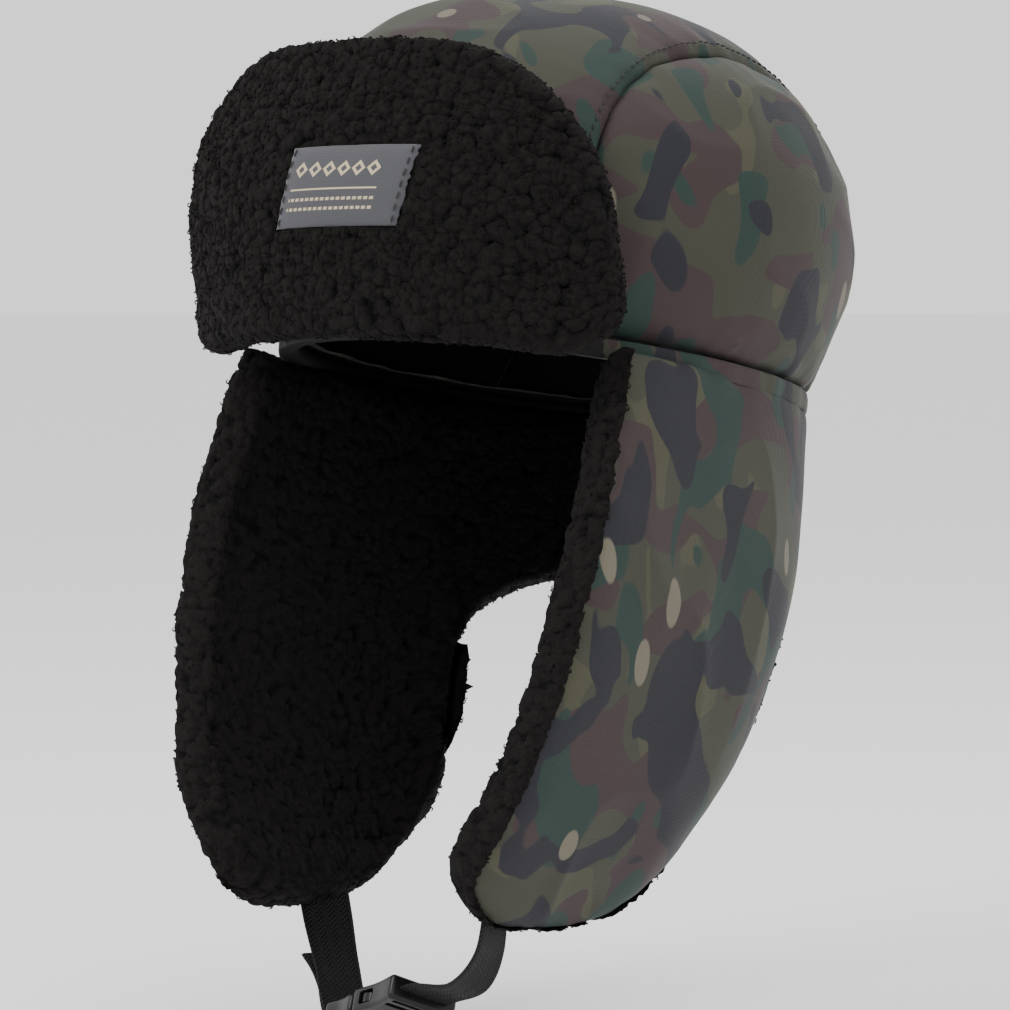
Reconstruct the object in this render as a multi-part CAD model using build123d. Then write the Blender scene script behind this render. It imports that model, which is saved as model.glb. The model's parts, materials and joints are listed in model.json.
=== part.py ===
from build123d import *
import math
import os

# Trapper hat, millimetres. Wearer's left is +X, the face looks to -Y, up is +Z.
# The origin is the middle of the head opening, in the plane of the band.
# Everything on the hat is drawn square to the band, and the whole hat is then tipped
# back by BAND_TILT, so the front of the band stands higher than the nape.

BAND_TILT = 11.2

# Crown: an egg-shaped dome. Half widths are along X, depth is DEPTH_RATIO times more.
DEPTH_RATIO = 1.10
CROWN_HALF_WIDTH = 92.0
BULGE_HALF_WIDTH = 103.5
BULGE_HEIGHT = 50.0
CROWN_HEIGHT = 137.0
DOME_POWER = 2.25
BAND_HALF_HEIGHT = 3.0

# Cloth thicknesses.
SHELL = 1.0
CROWN_WADDING = 4.0
CROWN_LINING = 1.5
FLAP_WADDING = 5.0
FLAP_SHERPA = 9.0
VISOR_BOARD = 5.0
VISOR_SHERPA = 11.0

# Crown seams.
SIDE_SEAM_X = 73.0
REAR_SEAM_HEIGHT = 117.0
REAR_SEAM_FALL = 0.18
REAR_SEAM_START_Y = 15.0

# Curtain: the outer face of the ear flaps and nape, as level sections
# (height, half width, centre y, front radius, back radius, back roundness).
CURTAIN_SECTIONS = [
    (0.0, 92.0, 0.0, 119.0, 102.0, 2.0),
    (-34.0, 94.0, 0.0, 150.0, 101.0, 2.0),
    (-65.0, 94.0, 0.0, 190.0, 99.0, 2.05),
    (-104.0, 90.5, -6.0, 190.0, 93.0, 2.2),
    (-125.0, 87.0, -14.0, 165.0, 90.0, 2.4),
    (-160.0, 77.0, -28.0, 133.0, 74.0, 2.8),
    (-185.0, 64.0, -32.0, 95.0, 70.0, 3.0),
    (-212.0, 49.0, -34.0, 75.0, 62.0, 3.0),
]
FRONT_ROUNDNESS = 3.0
# The nape is offset in depth too. That fades to NAPE_LEAST below it, over NAPE_FADE of height.
NAPE_FADE_LOW = 120.0
NAPE_FADE = 50.0
NAPE_LEAST = 0.25
SECTION_POINTS = 28

# Side view of the curtain's free edge, (y, z), from the temple round the ear flap to the nape.
CURTAIN_EDGE = [
    (-66, -3), (-73, -35), (-78, -65), (-83, -104), (-86, -140), (-88, -168),
    (-85, -190), (-70, -201), (-42, -202), (-8, -196), (22, -177), (38, -150),
    (46, -125), (52, -98), (64, -78), (84, -64), (100, -59), (125, -58),
]
FLAP_SPLIT_Y = 54.0
BODY_GAP = 0.6

# Ear flap hinge lines run beside the band, front to back.
FLAP_AXIS_X = 93.5
FLAP_AXIS_Z = -3.0

# Visor: a curved pad that stands off the front of the crown (height, half width, depth).
VISOR_SECTIONS = [
    (-10.0, 116.0, 124.0),
    (20.0, 128.0, 128.5),
    (50.0, 136.0, 132.5),
    (80.0, 134.0, 129.0),
    (115.0, 124.0, 117.0),
]
VISOR_HALF_ANGLE = 48.0
VISOR_HALF_WIDTH = 96.0
VISOR_BOTTOM = -7.0
VISOR_TOP = 92.0
VISOR_TOP_RADIUS = 58.0
VISOR_BOTTOM_RADIUS = 12.0
VISOR_AXIS_Y = -98.0
VISOR_AXIS_Z = -7.0

# Woven label on the visor, and the thread along its short edges.
LABEL_WIDTH = 52.0
LABEL_HEIGHT = 28.0
LABEL_X = 7.0
LABEL_Z = 42.0
LABEL_THICKNESS = 0.8
STITCHES_PER_EDGE = 7
STITCH_LENGTH = 2.4
STITCH_WIDTH = 0.7

# Chin strap and side-release buckle.
STRAP_WIDTH = 20.0
STRAP_THICKNESS = 1.6
BUCKLE_MIDDLE = Vector(-6.0, -86.0, -219.0)
BUCKLE_ALONG = Vector(38.0, -12.0, 14.0).normalized()
BUCKLE_FACE = Vector(0.1, -0.45, -0.88)
BUCKLE_WIDTH = 27.0
BUCKLE_DEPTH = 9.0
CATCH_DEPTH = 7.0
SOCKET_ROUNDING = 3.0
CATCH_ROUNDING = 2.4
SOCKET_MOUTH = -4.0
SOCKET_END = 23.0
CATCH_END = -23.0
COLLAR = -5.0
# Half width and depth of the hollow, and half width of the strap slots.
HOLLOW_HALF_WIDTH = 10.6
HOLLOW_DEPTH = 4.8
HOLLOW_END = 12.0
# Where the side windows and the strap slots start and end along the buckle.
WINDOW = (0.6, 8.8)
SOCKET_SLOTS = ((14.5, 17.4), (19.4, 21.4))
CATCH_SLOTS = ((-20.6, -17.4), (-14.8, -11.6))
SOCKET_STRAP_END = 18.4
CATCH_STRAP_END = -17.6
TONGUE_HALF_WIDTH = 1.6
PRONG_OFFSET = 8.2
PRONG_THICKNESS = 2.4
PRONG_HEIGHT = 3.6
PRONG_TIP = 8.0
PRONG_ROOT = -3.4
# Side view of a prong's barb: (along, beyond the middle of the arm).
BARB = ((1.2, 0.0), (1.2, 3.6), (3.0, 4.4), (6.0, 3.6), (PRONG_TIP, 0.0))

# Straps, as stations of (centre, width direction, face direction), from the flap down.
ACROSS_RIGHT = (0.35, 0.94, 0.0)
STRAP_LEFT = [
    ((49.0, -96.0, -178.0), (0.25, -0.97, 0.0), (1.0, 0.25, -0.25)),
    ((46.5, -96.5, -192.0), (0.15, -0.98, 0.05), (0.95, 0.15, -0.35)),
    ((36.0, -95.5, -205.5), (-0.1, -0.95, 0.2), (0.6, -0.1, -0.75)),
]
STRAP_RIGHT = [
    ((-53.5, -66.0, -177.0), ACROSS_RIGHT, (-0.9, 0.33, -0.25)),
    ((-49.0, -68.0, -191.0), ACROSS_RIGHT, (-0.9, 0.33, -0.35)),
    ((-41.5, -72.0, -208.0), (0.2, 0.96, -0.1), (-0.75, 0.1, -0.65)),
]
# The free tail lies under the right strap and stops short of the flap.
TAIL = [
    ((-48.8, -69.0, -205.0), ACROSS_RIGHT, (-0.82, 0.22, -0.5)),
    ((-44.9, -70.9, -209.4), (0.2, 0.96, -0.1), (-0.75, 0.1, -0.65)),
]
TAIL_GAP = 2.2
STRAP_STRAIGHT = 8.0

BIG = 400.0
TIP_BACK = Rot(X=-BAND_TILT)


def dome_half_width(height):
    """Half width of the crown's outer face at a height above the band."""
    if height <= BULGE_HEIGHT:
        swell = math.sin(max(height, 0.0) / BULGE_HEIGHT * math.pi / 2)
        return CROWN_HALF_WIDTH + (BULGE_HALF_WIDTH - CROWN_HALF_WIDTH) * swell
    rise = (height - BULGE_HEIGHT) / (CROWN_HEIGHT - BULGE_HEIGHT)
    return BULGE_HALF_WIDTH * max(0.0, 1 - rise ** DOME_POWER) ** (1 / DOME_POWER)


def dome(inset, bottom=BAND_HALF_HEIGHT):
    """Solid crown, its outer face moved in by inset, cut flat at bottom."""
    top = CROWN_HEIGHT - inset
    stretch = top / CROWN_HEIGHT
    heights = [bottom, 10, 20, 30, 40, 50, 65, 80, 95, 108, 119, 127, 132, 135]
    points = [(dome_half_width(h) - inset, h * stretch if h > 50 else h) for h in heights]
    side = Spline(points + [(0, top)], tangents=[(0.3, 1), (-1, 0)])
    face = make_face([side, Line((0, top), (0, bottom)), Line((0, bottom), points[0])])
    upright = Plane.XZ * face
    round_dome = revolve(upright, Axis.Z)
    return scale(round_dome, by=(1, DEPTH_RATIO, 1))


def curtain_section(row, inset):
    """One level section of the curtain, moved in by inset."""
    height, half_width, centre, front, back, back_roundness = row
    back_inset = inset * max(NAPE_LEAST, min(1.0, (height + NAPE_FADE_LOW) / NAPE_FADE))
    points = []
    for step in range(SECTION_POINTS):
        turn = 2 * math.pi * step / SECTION_POINTS
        ahead = math.cos(turn)
        aside = math.sin(turn)
        power = FRONT_ROUNDNESS if ahead > 0 else back_roundness
        reach = front if ahead > 0 else back - back_inset
        x = math.copysign(abs(aside) ** (2 / power), aside) * (half_width - inset)
        y = centre - math.copysign(abs(ahead) ** (2 / power), ahead) * reach
        points.append((x, y, height))
    return make_face(Spline(points, periodic=True))


def curtain(inset):
    """Solid tube whose wall is the curtain's outer face, moved in by inset."""
    return loft([curtain_section(row, inset) for row in CURTAIN_SECTIONS], ruled=True)


def visor_block(inset):
    """Solid whose wall is the visor's outer face, moved in by inset."""
    sections = []
    for height, half_width, depth in VISOR_SECTIONS:
        flat = Plane.XY.offset(height)
        sections.append(flat * Ellipse(half_width - inset, depth - inset))
    return loft(sections)


def half_space(normal, point):
    """Large block on the side of a plane that its normal points to."""
    plane = Plane(origin=point, z_dir=normal)
    return plane * Box(BIG, BIG, BIG, align=(Align.CENTER, Align.CENTER, Align.MIN))


def edge_prism(top):
    """Block whose side view is the curtain, from its free edge up to top."""
    edge = Spline([(y, z) for y, z in CURTAIN_EDGE])
    first = CURTAIN_EDGE[0]
    last = CURTAIN_EDGE[-1]
    rest = Polyline(last, (last[0], 20), (first[0], 20), first)
    face = Plane.YZ * make_face([edge, rest])
    block = extrude(face, BIG / 2, both=True)
    return block & half_space((0, 0, -1), (0, 0, top))


def visor_outline():
    """Block with the visor's outline: rounded in front view, radial at its ends."""
    corners = [
        (-VISOR_HALF_WIDTH, VISOR_BOTTOM), (VISOR_HALF_WIDTH, VISOR_BOTTOM),
        (VISOR_HALF_WIDTH, VISOR_TOP), (-VISOR_HALF_WIDTH, VISOR_TOP),
    ]
    plate = make_face(Polyline(*corners, close=True))
    low = plate.vertices().group_by(Axis.Y)[0]
    plate = fillet(low, VISOR_BOTTOM_RADIUS)
    high = plate.vertices().filter_by(lambda v: v.Y > VISOR_TOP - 1)
    plate = fillet(high, VISOR_TOP_RADIUS)
    front = extrude(Plane.XZ * plate, BIG / 2)
    reach = BIG * math.sin(math.radians(VISOR_HALF_ANGLE))
    ahead = -BIG * math.cos(math.radians(VISOR_HALF_ANGLE))
    wedge = extrude(make_face(Polyline((0, 0), (reach, ahead), (-reach, ahead), close=True)), BIG, both=True)
    return front & wedge


def ribbon(stations):
    """Webbing through stations of (centre, width direction, face direction)."""
    sections = []
    for centre, across, face in stations:
        plane = Plane(origin=centre, x_dir=across, z_dir=Vector(*across).cross(Vector(*face)))
        sections.append(plane * Rectangle(STRAP_WIDTH, STRAP_THICKNESS))
    return loft(sections)


def save(name, shape):
    """Write one node, its solids as one compound."""
    solids = shape.solids()
    body = solids[0] if len(solids) == 1 else Compound(children=list(solids))
    export_step(body, f"parts/{name}.step")
    return shape


def crown_parts():
    """Four outer panels over one layer of wadding and one of lining."""
    outer = dome(0)
    under_shell = dome(SHELL)
    under_wadding = dome(SHELL + CROWN_WADDING)
    inside = dome(SHELL + CROWN_WADDING + CROWN_LINING)
    shell = outer - under_shell
    left = half_space((1, 0, 0), (SIDE_SEAM_X, 0, 0))
    right = half_space((-1, 0, 0), (-SIDE_SEAM_X, 0, 0))
    middle = Box(2 * SIDE_SEAM_X, BIG, BIG)
    rear = half_space((0, -REAR_SEAM_FALL, -1), (0, 0, REAR_SEAM_HEIGHT))
    rear = rear & half_space((0, 1, 0), (0, REAR_SEAM_START_Y, 0))
    strip = shell & middle
    return {
        "crown_side_panel_left": shell & left,
        "crown_side_panel_right": shell & right,
        "crown_back_panel": strip & rear,
        "crown_top_panel": strip - rear,
        "crown_wadding": under_shell - under_wadding,
        "crown_lining": under_wadding - inside,
    }


def band_parts():
    """Padded strip sewn between the crown and everything that hangs from it."""
    height = 2 * BAND_HALF_HEIGHT
    depth = SHELL + CROWN_WADDING + CROWN_LINING
    outer = Ellipse(CROWN_HALF_WIDTH, CROWN_HALF_WIDTH * DEPTH_RATIO)
    inner = Ellipse(CROWN_HALF_WIDTH - depth, (CROWN_HALF_WIDTH - depth) * DEPTH_RATIO)
    ring = extrude(outer - inner, height)
    return {"band_strip": Pos(0, 0, -BAND_HALF_HEIGHT) * ring}


def curtain_parts():
    """Ear flaps and nape: shell, wadding and sherpa, split where the flaps fold."""
    faces = [0, SHELL, SHELL + FLAP_WADDING, SHELL + FLAP_WADDING + FLAP_SHERPA]
    walls = [curtain(inset) for inset in faces]
    flap_block = edge_prism(-BAND_HALF_HEIGHT - BODY_GAP)
    flap_block = flap_block & half_space((0, -1, 0), (0, FLAP_SPLIT_Y, 0))
    nape_block = edge_prism(-BAND_HALF_HEIGHT)
    nape_block = nape_block & half_space((0, 1, 0), (0, FLAP_SPLIT_Y + BODY_GAP, 0))
    left = flap_block & half_space((1, 0, 0), (0, 0, 0))
    right = flap_block & half_space((-1, 0, 0), (0, 0, 0))
    made = {}
    for layer, name in enumerate(["shell", "wadding", "sherpa"]):
        sheet = walls[layer] - walls[layer + 1]
        made[f"neck_flap_{name}"] = sheet & nape_block
        made[f"ear_flap_left_{name}"] = sheet & left
        made[f"ear_flap_right_{name}"] = sheet & right
    return made


def visor_parts():
    """Folded-up visor: camo shell to the crown, board, sherpa face, label and its thread."""
    thickness = SHELL + VISOR_BOARD + VISOR_SHERPA
    outline = visor_outline()
    face = visor_block(0)
    under_sherpa = visor_block(VISOR_SHERPA)
    under_board = visor_block(VISOR_SHERPA + VISOR_BOARD)
    back = visor_block(thickness)
    label_face = visor_block(-LABEL_THICKNESS)
    thread_face = visor_block(-1.5 * LABEL_THICKNESS)
    label_block = Pos(LABEL_X, -BIG / 4, LABEL_Z) * Box(LABEL_WIDTH, BIG / 2, LABEL_HEIGHT)
    stitches = []
    pitch = LABEL_HEIGHT / STITCHES_PER_EDGE
    for side in (-1, 1):
        for row in range(STITCHES_PER_EDGE):
            x = LABEL_X + side * (LABEL_WIDTH / 2 - 1.5)
            z = LABEL_Z + (row - (STITCHES_PER_EDGE - 1) / 2) * pitch
            stitches.append(Pos(x, -BIG / 4, z) * Box(STITCH_WIDTH, BIG / 2, STITCH_LENGTH))
    thread = thread_face - label_face
    return {
        "visor_shell": (under_board - back) & outline,
        "visor_board": (under_sherpa - under_board) & outline,
        "visor_sherpa": (face - under_sherpa) & outline,
        "visor_label": (label_face - face) & label_block,
        "visor_label_stitches": Compound(children=[(thread & bar).solids()[0] for bar in stitches]),
    }


def buckle_place():
    """Frame of the buckle: x from the catch to the socket, z out of its broad face."""
    face = BUCKLE_FACE - BUCKLE_ALONG * BUCKLE_FACE.dot(BUCKLE_ALONG)
    return Plane(origin=BUCKLE_MIDDLE, x_dir=BUCKLE_ALONG, z_dir=face.normalized())


def block(x0, x1, y0, y1, height):
    """Box from x0 to x1 and y0 to y1, centred on the buckle's mid plane."""
    return Pos((x0 + x1) / 2, (y0 + y1) / 2, 0) * Box(x1 - x0, y1 - y0, height)


def socket():
    """Female half: hollow body, side windows and the bar that carries the left strap."""
    half = BUCKLE_WIDTH / 2
    body = block(SOCKET_MOUTH, SOCKET_END, -half, half, BUCKLE_DEPTH)
    body = fillet(body.edges().filter_by(Axis.X), SOCKET_ROUNDING)
    inner = HOLLOW_HALF_WIDTH
    body = body - block(SOCKET_MOUTH - 1, HOLLOW_END, -inner, inner, HOLLOW_DEPTH)
    body = body - block(WINDOW[0], WINDOW[1], -half - 1, half + 1, HOLLOW_DEPTH)
    for start, end in SOCKET_SLOTS:
        body = body - block(start, end, -inner, inner, BUCKLE_DEPTH + 2)
    return body


def catch():
    """Male half: ladder-lock frame, collar and middle guide tongue."""
    half = BUCKLE_WIDTH / 2
    inner = HOLLOW_HALF_WIDTH
    frame = block(CATCH_END, COLLAR, -half, half, CATCH_DEPTH)
    frame = fillet(frame.edges().filter_by(Axis.X), CATCH_ROUNDING)
    for start, end in CATCH_SLOTS:
        frame = frame - block(start, end, -inner, inner, BUCKLE_DEPTH + 2)
    guide = TONGUE_HALF_WIDTH
    return frame + block(COLLAR, PRONG_TIP, -guide, guide, 2 * guide)


def prong(side):
    """One sprung prong with its barb, on the side given as 1 or -1."""
    half_thick = PRONG_THICKNESS / 2
    middle = side * PRONG_OFFSET
    arm = block(PRONG_ROOT, PRONG_TIP, middle - half_thick, middle + half_thick, PRONG_HEIGHT)
    root = Pos(PRONG_ROOT, middle, 0) * Cylinder(half_thick, PRONG_HEIGHT)
    barb = make_face(Polyline(*[(x, middle + side * y) for x, y in BARB], close=True))
    return arm + root + extrude(barb, PRONG_HEIGHT / 2, both=True)


def strap_parts():
    """Chin strap halves: sewn into the flaps, ending at the two halves of the buckle."""
    place = buckle_place()
    along = BUCKLE_ALONG
    across = place.y_dir
    face = place.z_dir
    end_left = BUCKLE_MIDDLE + along * SOCKET_STRAP_END
    end_right = BUCKLE_MIDDLE + along * CATCH_STRAP_END
    straight = along * STRAP_STRAIGHT
    return {
        "strap_left": ribbon(STRAP_LEFT + [
            (end_left + straight, across, face),
            (end_left, across, face),
        ]),
        "strap_right": ribbon(STRAP_RIGHT + [
            (end_right - straight, -across, face),
            (end_right, -across, face),
        ]),
        "strap_tail": ribbon(TAIL + [
            (end_right - straight + face * TAIL_GAP, -across, face),
        ]),
    }


def largest(shape):
    """The biggest solid of a shape.

    Any other solid is lost. On the catch that is 84 cubic mm, the side of its
    end bar that the strap cuts off. On the socket nothing is lost.
    """
    return max(shape.solids(), key=lambda solid: solid.volume)


def main():
    os.makedirs("parts", exist_ok=True)
    made = {}
    for group in (crown_parts(), band_parts(), curtain_parts(), visor_parts()):
        for name, shape in group.items():
            made[name] = TIP_BACK * shape
    place = buckle_place()
    straps = strap_parts()
    made["buckle_socket"] = largest(place * socket() - straps["strap_left"])
    made["buckle_catch"] = largest(place * catch() - straps["strap_right"])
    made["buckle_prong_front"] = place * prong(1)
    made["buckle_prong_rear"] = place * prong(-1)
    for side in ("left", "right"):
        for layer in ("shell", "wadding", "sherpa"):
            name = f"ear_flap_{side}_{layer}"
            made[name] = made[name] - straps[f"strap_{side}"]
    made.update(straps)
    for name, shape in made.items():
        save(name, shape)


main()
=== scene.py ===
"""Padded trapper hat: camouflage shell, black sherpa pile, webbing chin strap and moulded buckle."""
import json
import logging
import math
from dataclasses import dataclass, field
from enum import Enum
from typing import Callable, Optional

import bpy
import numpy as np
from mathutils import Matrix, Vector
from mathutils.kdtree import KDTree


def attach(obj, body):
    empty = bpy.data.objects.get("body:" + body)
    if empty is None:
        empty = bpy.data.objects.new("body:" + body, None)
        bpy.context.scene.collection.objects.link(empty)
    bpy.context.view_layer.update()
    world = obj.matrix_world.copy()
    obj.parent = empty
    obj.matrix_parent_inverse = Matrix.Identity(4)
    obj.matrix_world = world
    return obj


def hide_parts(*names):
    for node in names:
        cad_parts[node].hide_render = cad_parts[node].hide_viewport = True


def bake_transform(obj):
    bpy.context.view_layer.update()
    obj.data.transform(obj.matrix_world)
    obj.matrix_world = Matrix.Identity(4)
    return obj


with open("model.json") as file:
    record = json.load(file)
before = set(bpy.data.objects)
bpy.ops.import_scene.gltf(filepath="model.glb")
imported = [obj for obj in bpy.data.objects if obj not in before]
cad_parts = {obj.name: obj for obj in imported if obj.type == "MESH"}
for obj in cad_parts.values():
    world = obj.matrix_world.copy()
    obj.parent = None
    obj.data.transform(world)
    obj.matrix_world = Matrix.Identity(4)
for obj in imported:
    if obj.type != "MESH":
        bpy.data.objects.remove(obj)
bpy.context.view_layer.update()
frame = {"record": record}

LOG = logging.getLogger("hat")
MM = 0.001
Array = np.ndarray
JOINTS = {joint["name"]: joint for joint in frame["record"]["behaviour"]["joints"]}
# The band is tipped back from level by this angle, read from the left flap's fold line.
BAND_TILT = math.asin(JOINTS["ear_flap_left_fold"]["axis"][2])


# ---------------------------------------------------------------- number work

def tipped(points: Array) -> Array:
    """Turn points from the band's own frame to the hat's frame.

    Args:
        points: (n, 3) millimetres, square to the band.
    Returns:
        (n, 3) millimetres, with the front of the band high.
    """
    cos, sin = math.cos(BAND_TILT), math.sin(BAND_TILT)
    x, y, z = points.T
    return np.stack([x, y * cos + z * sin, z * cos - y * sin], 1)


def scrambled(cell: Array, seed: int) -> Array:
    """Repeatable random number from 0 to 1 for each whole-number cell."""
    mixed = cell.astype(np.int64)
    key = mixed[..., 0] * 73856093 ^ mixed[..., 1] * 19349663 ^ mixed[..., 2] * 83492791
    key = (key ^ (seed * 2654435761)) & 0xFFFFFFFF
    key = (key ^ (key >> 15)) * 2246822519 & 0xFFFFFFFF
    key = (key ^ (key >> 13)) * 3266489917 & 0xFFFFFFFF
    return ((key ^ (key >> 16)) & 0xFFFFFF) / float(0x1000000)


def soft_noise(points: Array, size: float, seed: int) -> Array:
    """Smooth noise from -1 to 1.

    Args:
        points: (n, 3) millimetres.
        size: millimetres from one swell to the next.
        seed: which noise.
    Returns:
        (n,) values.
    """
    scaled = points / size
    low = np.floor(scaled).astype(np.int64)
    part = scaled - low
    part = part * part * (3 - 2 * part)
    total = np.zeros(len(points))
    for corner in np.ndindex(2, 2, 2):
        step = np.array(corner)
        weight = np.prod(np.where(step == 1, part, 1 - part), axis=1)
        total += weight * scrambled(low + step, seed)
    return total * 2 - 1


def nearest_knot(points: Array, size: float, seed: int) -> tuple[Array, Array]:
    """Nearest of a loose scatter of pile knots.

    Args:
        points: (n, 3) millimetres.
        size: millimetres between knots.
        seed: which scatter.
    Returns:
        Distance to the nearest knot over size, and the vector from it.
    """
    scaled = points / size
    low = np.floor(scaled).astype(np.int64)
    best = np.full(len(points), 9.0)
    away = np.zeros_like(points)
    for corner in np.ndindex(3, 3, 3):
        cell = low + np.array(corner) - 1
        jitter = np.stack([scrambled(cell, seed + k) for k in range(3)], 1)
        offset = scaled - (cell + 0.1 + 0.8 * jitter)
        distance = np.sqrt((offset ** 2).sum(1))
        closer = distance < best
        best[closer] = distance[closer]
        away[closer] = offset[closer]
    return best, away * size


def smooth_line(points: list[tuple[float, ...]], count: int) -> Array:
    """Even points along a smooth curve through given ones.

    Args:
        points: the points it passes.
        count: how many to return.
    Returns:
        (count, k) points, evenly spaced by length.
    """
    knots = np.array(points, float)
    reach = np.r_[0, np.cumsum(np.sqrt((np.diff(knots, axis=0) ** 2).sum(1)))]
    fine = np.linspace(0, reach[-1], 60 * len(knots))
    curve = np.stack([hermite(reach, knots[:, k], fine) for k in range(knots.shape[1])], 1)
    along = np.r_[0, np.cumsum(np.sqrt((np.diff(curve, axis=0) ** 2).sum(1)))]
    even = np.linspace(0, along[-1], count)
    return np.stack([np.interp(even, along, curve[:, k]) for k in range(knots.shape[1])], 1)


def hermite(places: Array, values: Array, at: Array) -> Array:
    """Smooth interpolation of rising places, with slopes from their neighbours."""
    slope = np.gradient(values, places)
    index = np.clip(np.searchsorted(places, at) - 1, 0, len(places) - 2)
    width = places[index + 1] - places[index]
    part = np.clip((at - places[index]) / width, 0, 1)
    square, cube = part ** 2, part ** 3
    return ((2 * cube - 3 * square + 1) * values[index] + (cube - 2 * square + part) * width * slope[index]
            + (3 * square - 2 * cube) * values[index + 1] + (cube - square) * width * slope[index + 1])


def eased(value: Array, start: float, end: float) -> Array:
    """Smooth step from 0 at start to 1 at end."""
    part = np.clip((value - start) / (end - start), 0, 1)
    return part * part * (3 - 2 * part)


def distance_to_line(points: Array, line: Array) -> tuple[Array, Array]:
    """Distance from each point to the nearest of a line's samples, and which one."""
    tree = KDTree(len(line))
    for index, place in enumerate(line.tolist()):
        tree.insert(place, index)
    tree.balance()
    found = [tree.find(place)[1:] for place in points.tolist()]
    return np.array([f[1] for f in found]), np.array([f[0] for f in found])


def gathered(part: Array, low: tuple[float, float], high: tuple[float, float]) -> Array:
    """Crowd even steps towards one or both ends of 0 to 1.

    Args:
        part: even coordinates.
        low: share of the steps, and of the way, near 0.
        high: share of the steps, and of the way, near 1.
    Returns:
        Coordinates with the steps crowded.
    """
    return np.interp(part, [0, low[0], 1 - high[0], 1], [0, low[1], 1 - high[1], 1])


# ---------------------------------------------------------------- mesh work

def clear_selection() -> None:
    """Leave nothing selected, so that operators act on new things alone."""
    bpy.ops.object.select_all(action="DESELECT")


def pick(piece: bpy.types.Object) -> None:
    """Select one object alone and make it active."""
    clear_selection()
    piece.select_set(True)
    bpy.context.view_layer.objects.active = piece


def points_of(piece: bpy.types.Object) -> Array:
    """Vertices of a piece in millimetres."""
    flat = np.empty(len(piece.data.vertices) * 3, np.float32)
    piece.data.vertices.foreach_get("co", flat)
    return flat.reshape(-1, 3).astype(float) / MM


def normals_of(piece: bpy.types.Object) -> Array:
    """Vertex normals of a piece."""
    piece.data.update()
    flat = np.empty(len(piece.data.vertices) * 3, np.float32)
    piece.data.vertices.foreach_get("normal", flat)
    return flat.reshape(-1, 3).astype(float)


def move_points(piece: bpy.types.Object, points: Array) -> None:
    """Put a piece's vertices at points in millimetres."""
    piece.data.vertices.foreach_set("co", (points * MM).astype(np.float32).ravel())
    piece.data.update()


def cloth_grid(name: str, across: int, along: int, shape: Callable[[Array, Array], Array]) -> bpy.types.Object:
    """Lay a grid on a surface.

    Args:
        name: the piece's name.
        across: faces in the first direction.
        along: faces in the second direction.
        shape: gives millimetre points for the two coordinates, each from 0 to 1.
    Returns:
        The new piece, smooth shaded, with its UV map from the two coordinates.
    """
    clear_selection()
    bpy.ops.mesh.primitive_grid_add(x_subdivisions=across, y_subdivisions=along, size=2)
    piece = bpy.context.object
    piece.name = name
    flat = points_of(piece) * MM
    move_points(piece, shape((flat[:, 0] + 1) / 2, (flat[:, 1] + 1) / 2))
    bpy.ops.object.shade_smooth()
    return piece


def face_outwards(piece: bpy.types.Object, wanted: Callable[[Array], Array]) -> None:
    """Flip a piece if most of its normals point against the wanted direction."""
    agreement = (normals_of(piece) * wanted(points_of(piece))).sum(1).mean()
    if agreement < 0:
        pick(piece)
        bpy.ops.object.mode_set(mode="EDIT")
        bpy.ops.mesh.select_all(action="SELECT")
        bpy.ops.mesh.flip_normals()
        bpy.ops.object.mode_set(mode="OBJECT")


def apply_modifier(piece: bpy.types.Object, kind: str, **settings: object) -> None:
    """Add one modifier to a piece and apply it."""
    pick(piece)
    modifier = piece.modifiers.new(kind.lower(), kind)
    for key, value in settings.items():
        setattr(modifier, key, value)
    bpy.ops.object.modifier_apply(modifier=modifier.name)


# ---------------------------------------------------------------- finishes

def colour(code: str) -> tuple[float, float, float, float]:
    """Linear colour from an sRGB hex code."""
    levels = [int(code[k:k + 2], 16) / 255 for k in (1, 3, 5)]
    linear = [v / 12.92 if v <= 0.04045 else ((v + 0.055) / 1.055) ** 2.4 for v in levels]
    return linear[0], linear[1], linear[2], 1.0


def add_node(tree: bpy.types.NodeTree, kind: str, settings: Optional[dict] = None, **links: object) -> bpy.types.Node:
    """Add a node.

    Args:
        tree: the material's node tree.
        kind: the node's type name without the ShaderNode prefix.
        settings: properties of the node.
        **links: input names, spaces as underscores or i0, i1 for an index, each a value or a socket.
    Returns:
        The node.
    """
    node = tree.nodes.new("ShaderNode" + kind)
    for key, value in (settings or {}).items():
        setattr(node, key, value)
    for key, value in links.items():
        place = int(key[1:]) if key[0] == "i" and key[1:].isdigit() else key.replace("_", " ")
        socket = node.inputs[place]
        if isinstance(value, bpy.types.NodeSocket):
            tree.links.new(value, socket)
        else:
            socket.default_value = value
    return node


def blank_material(name: str) -> tuple[bpy.types.Material, bpy.types.NodeTree, bpy.types.Node]:
    """New node material with its Principled shader."""
    material = bpy.data.materials.new(name)
    material.use_nodes = True
    tree = material.node_tree
    return material, tree, tree.nodes["Principled BSDF"]


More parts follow.
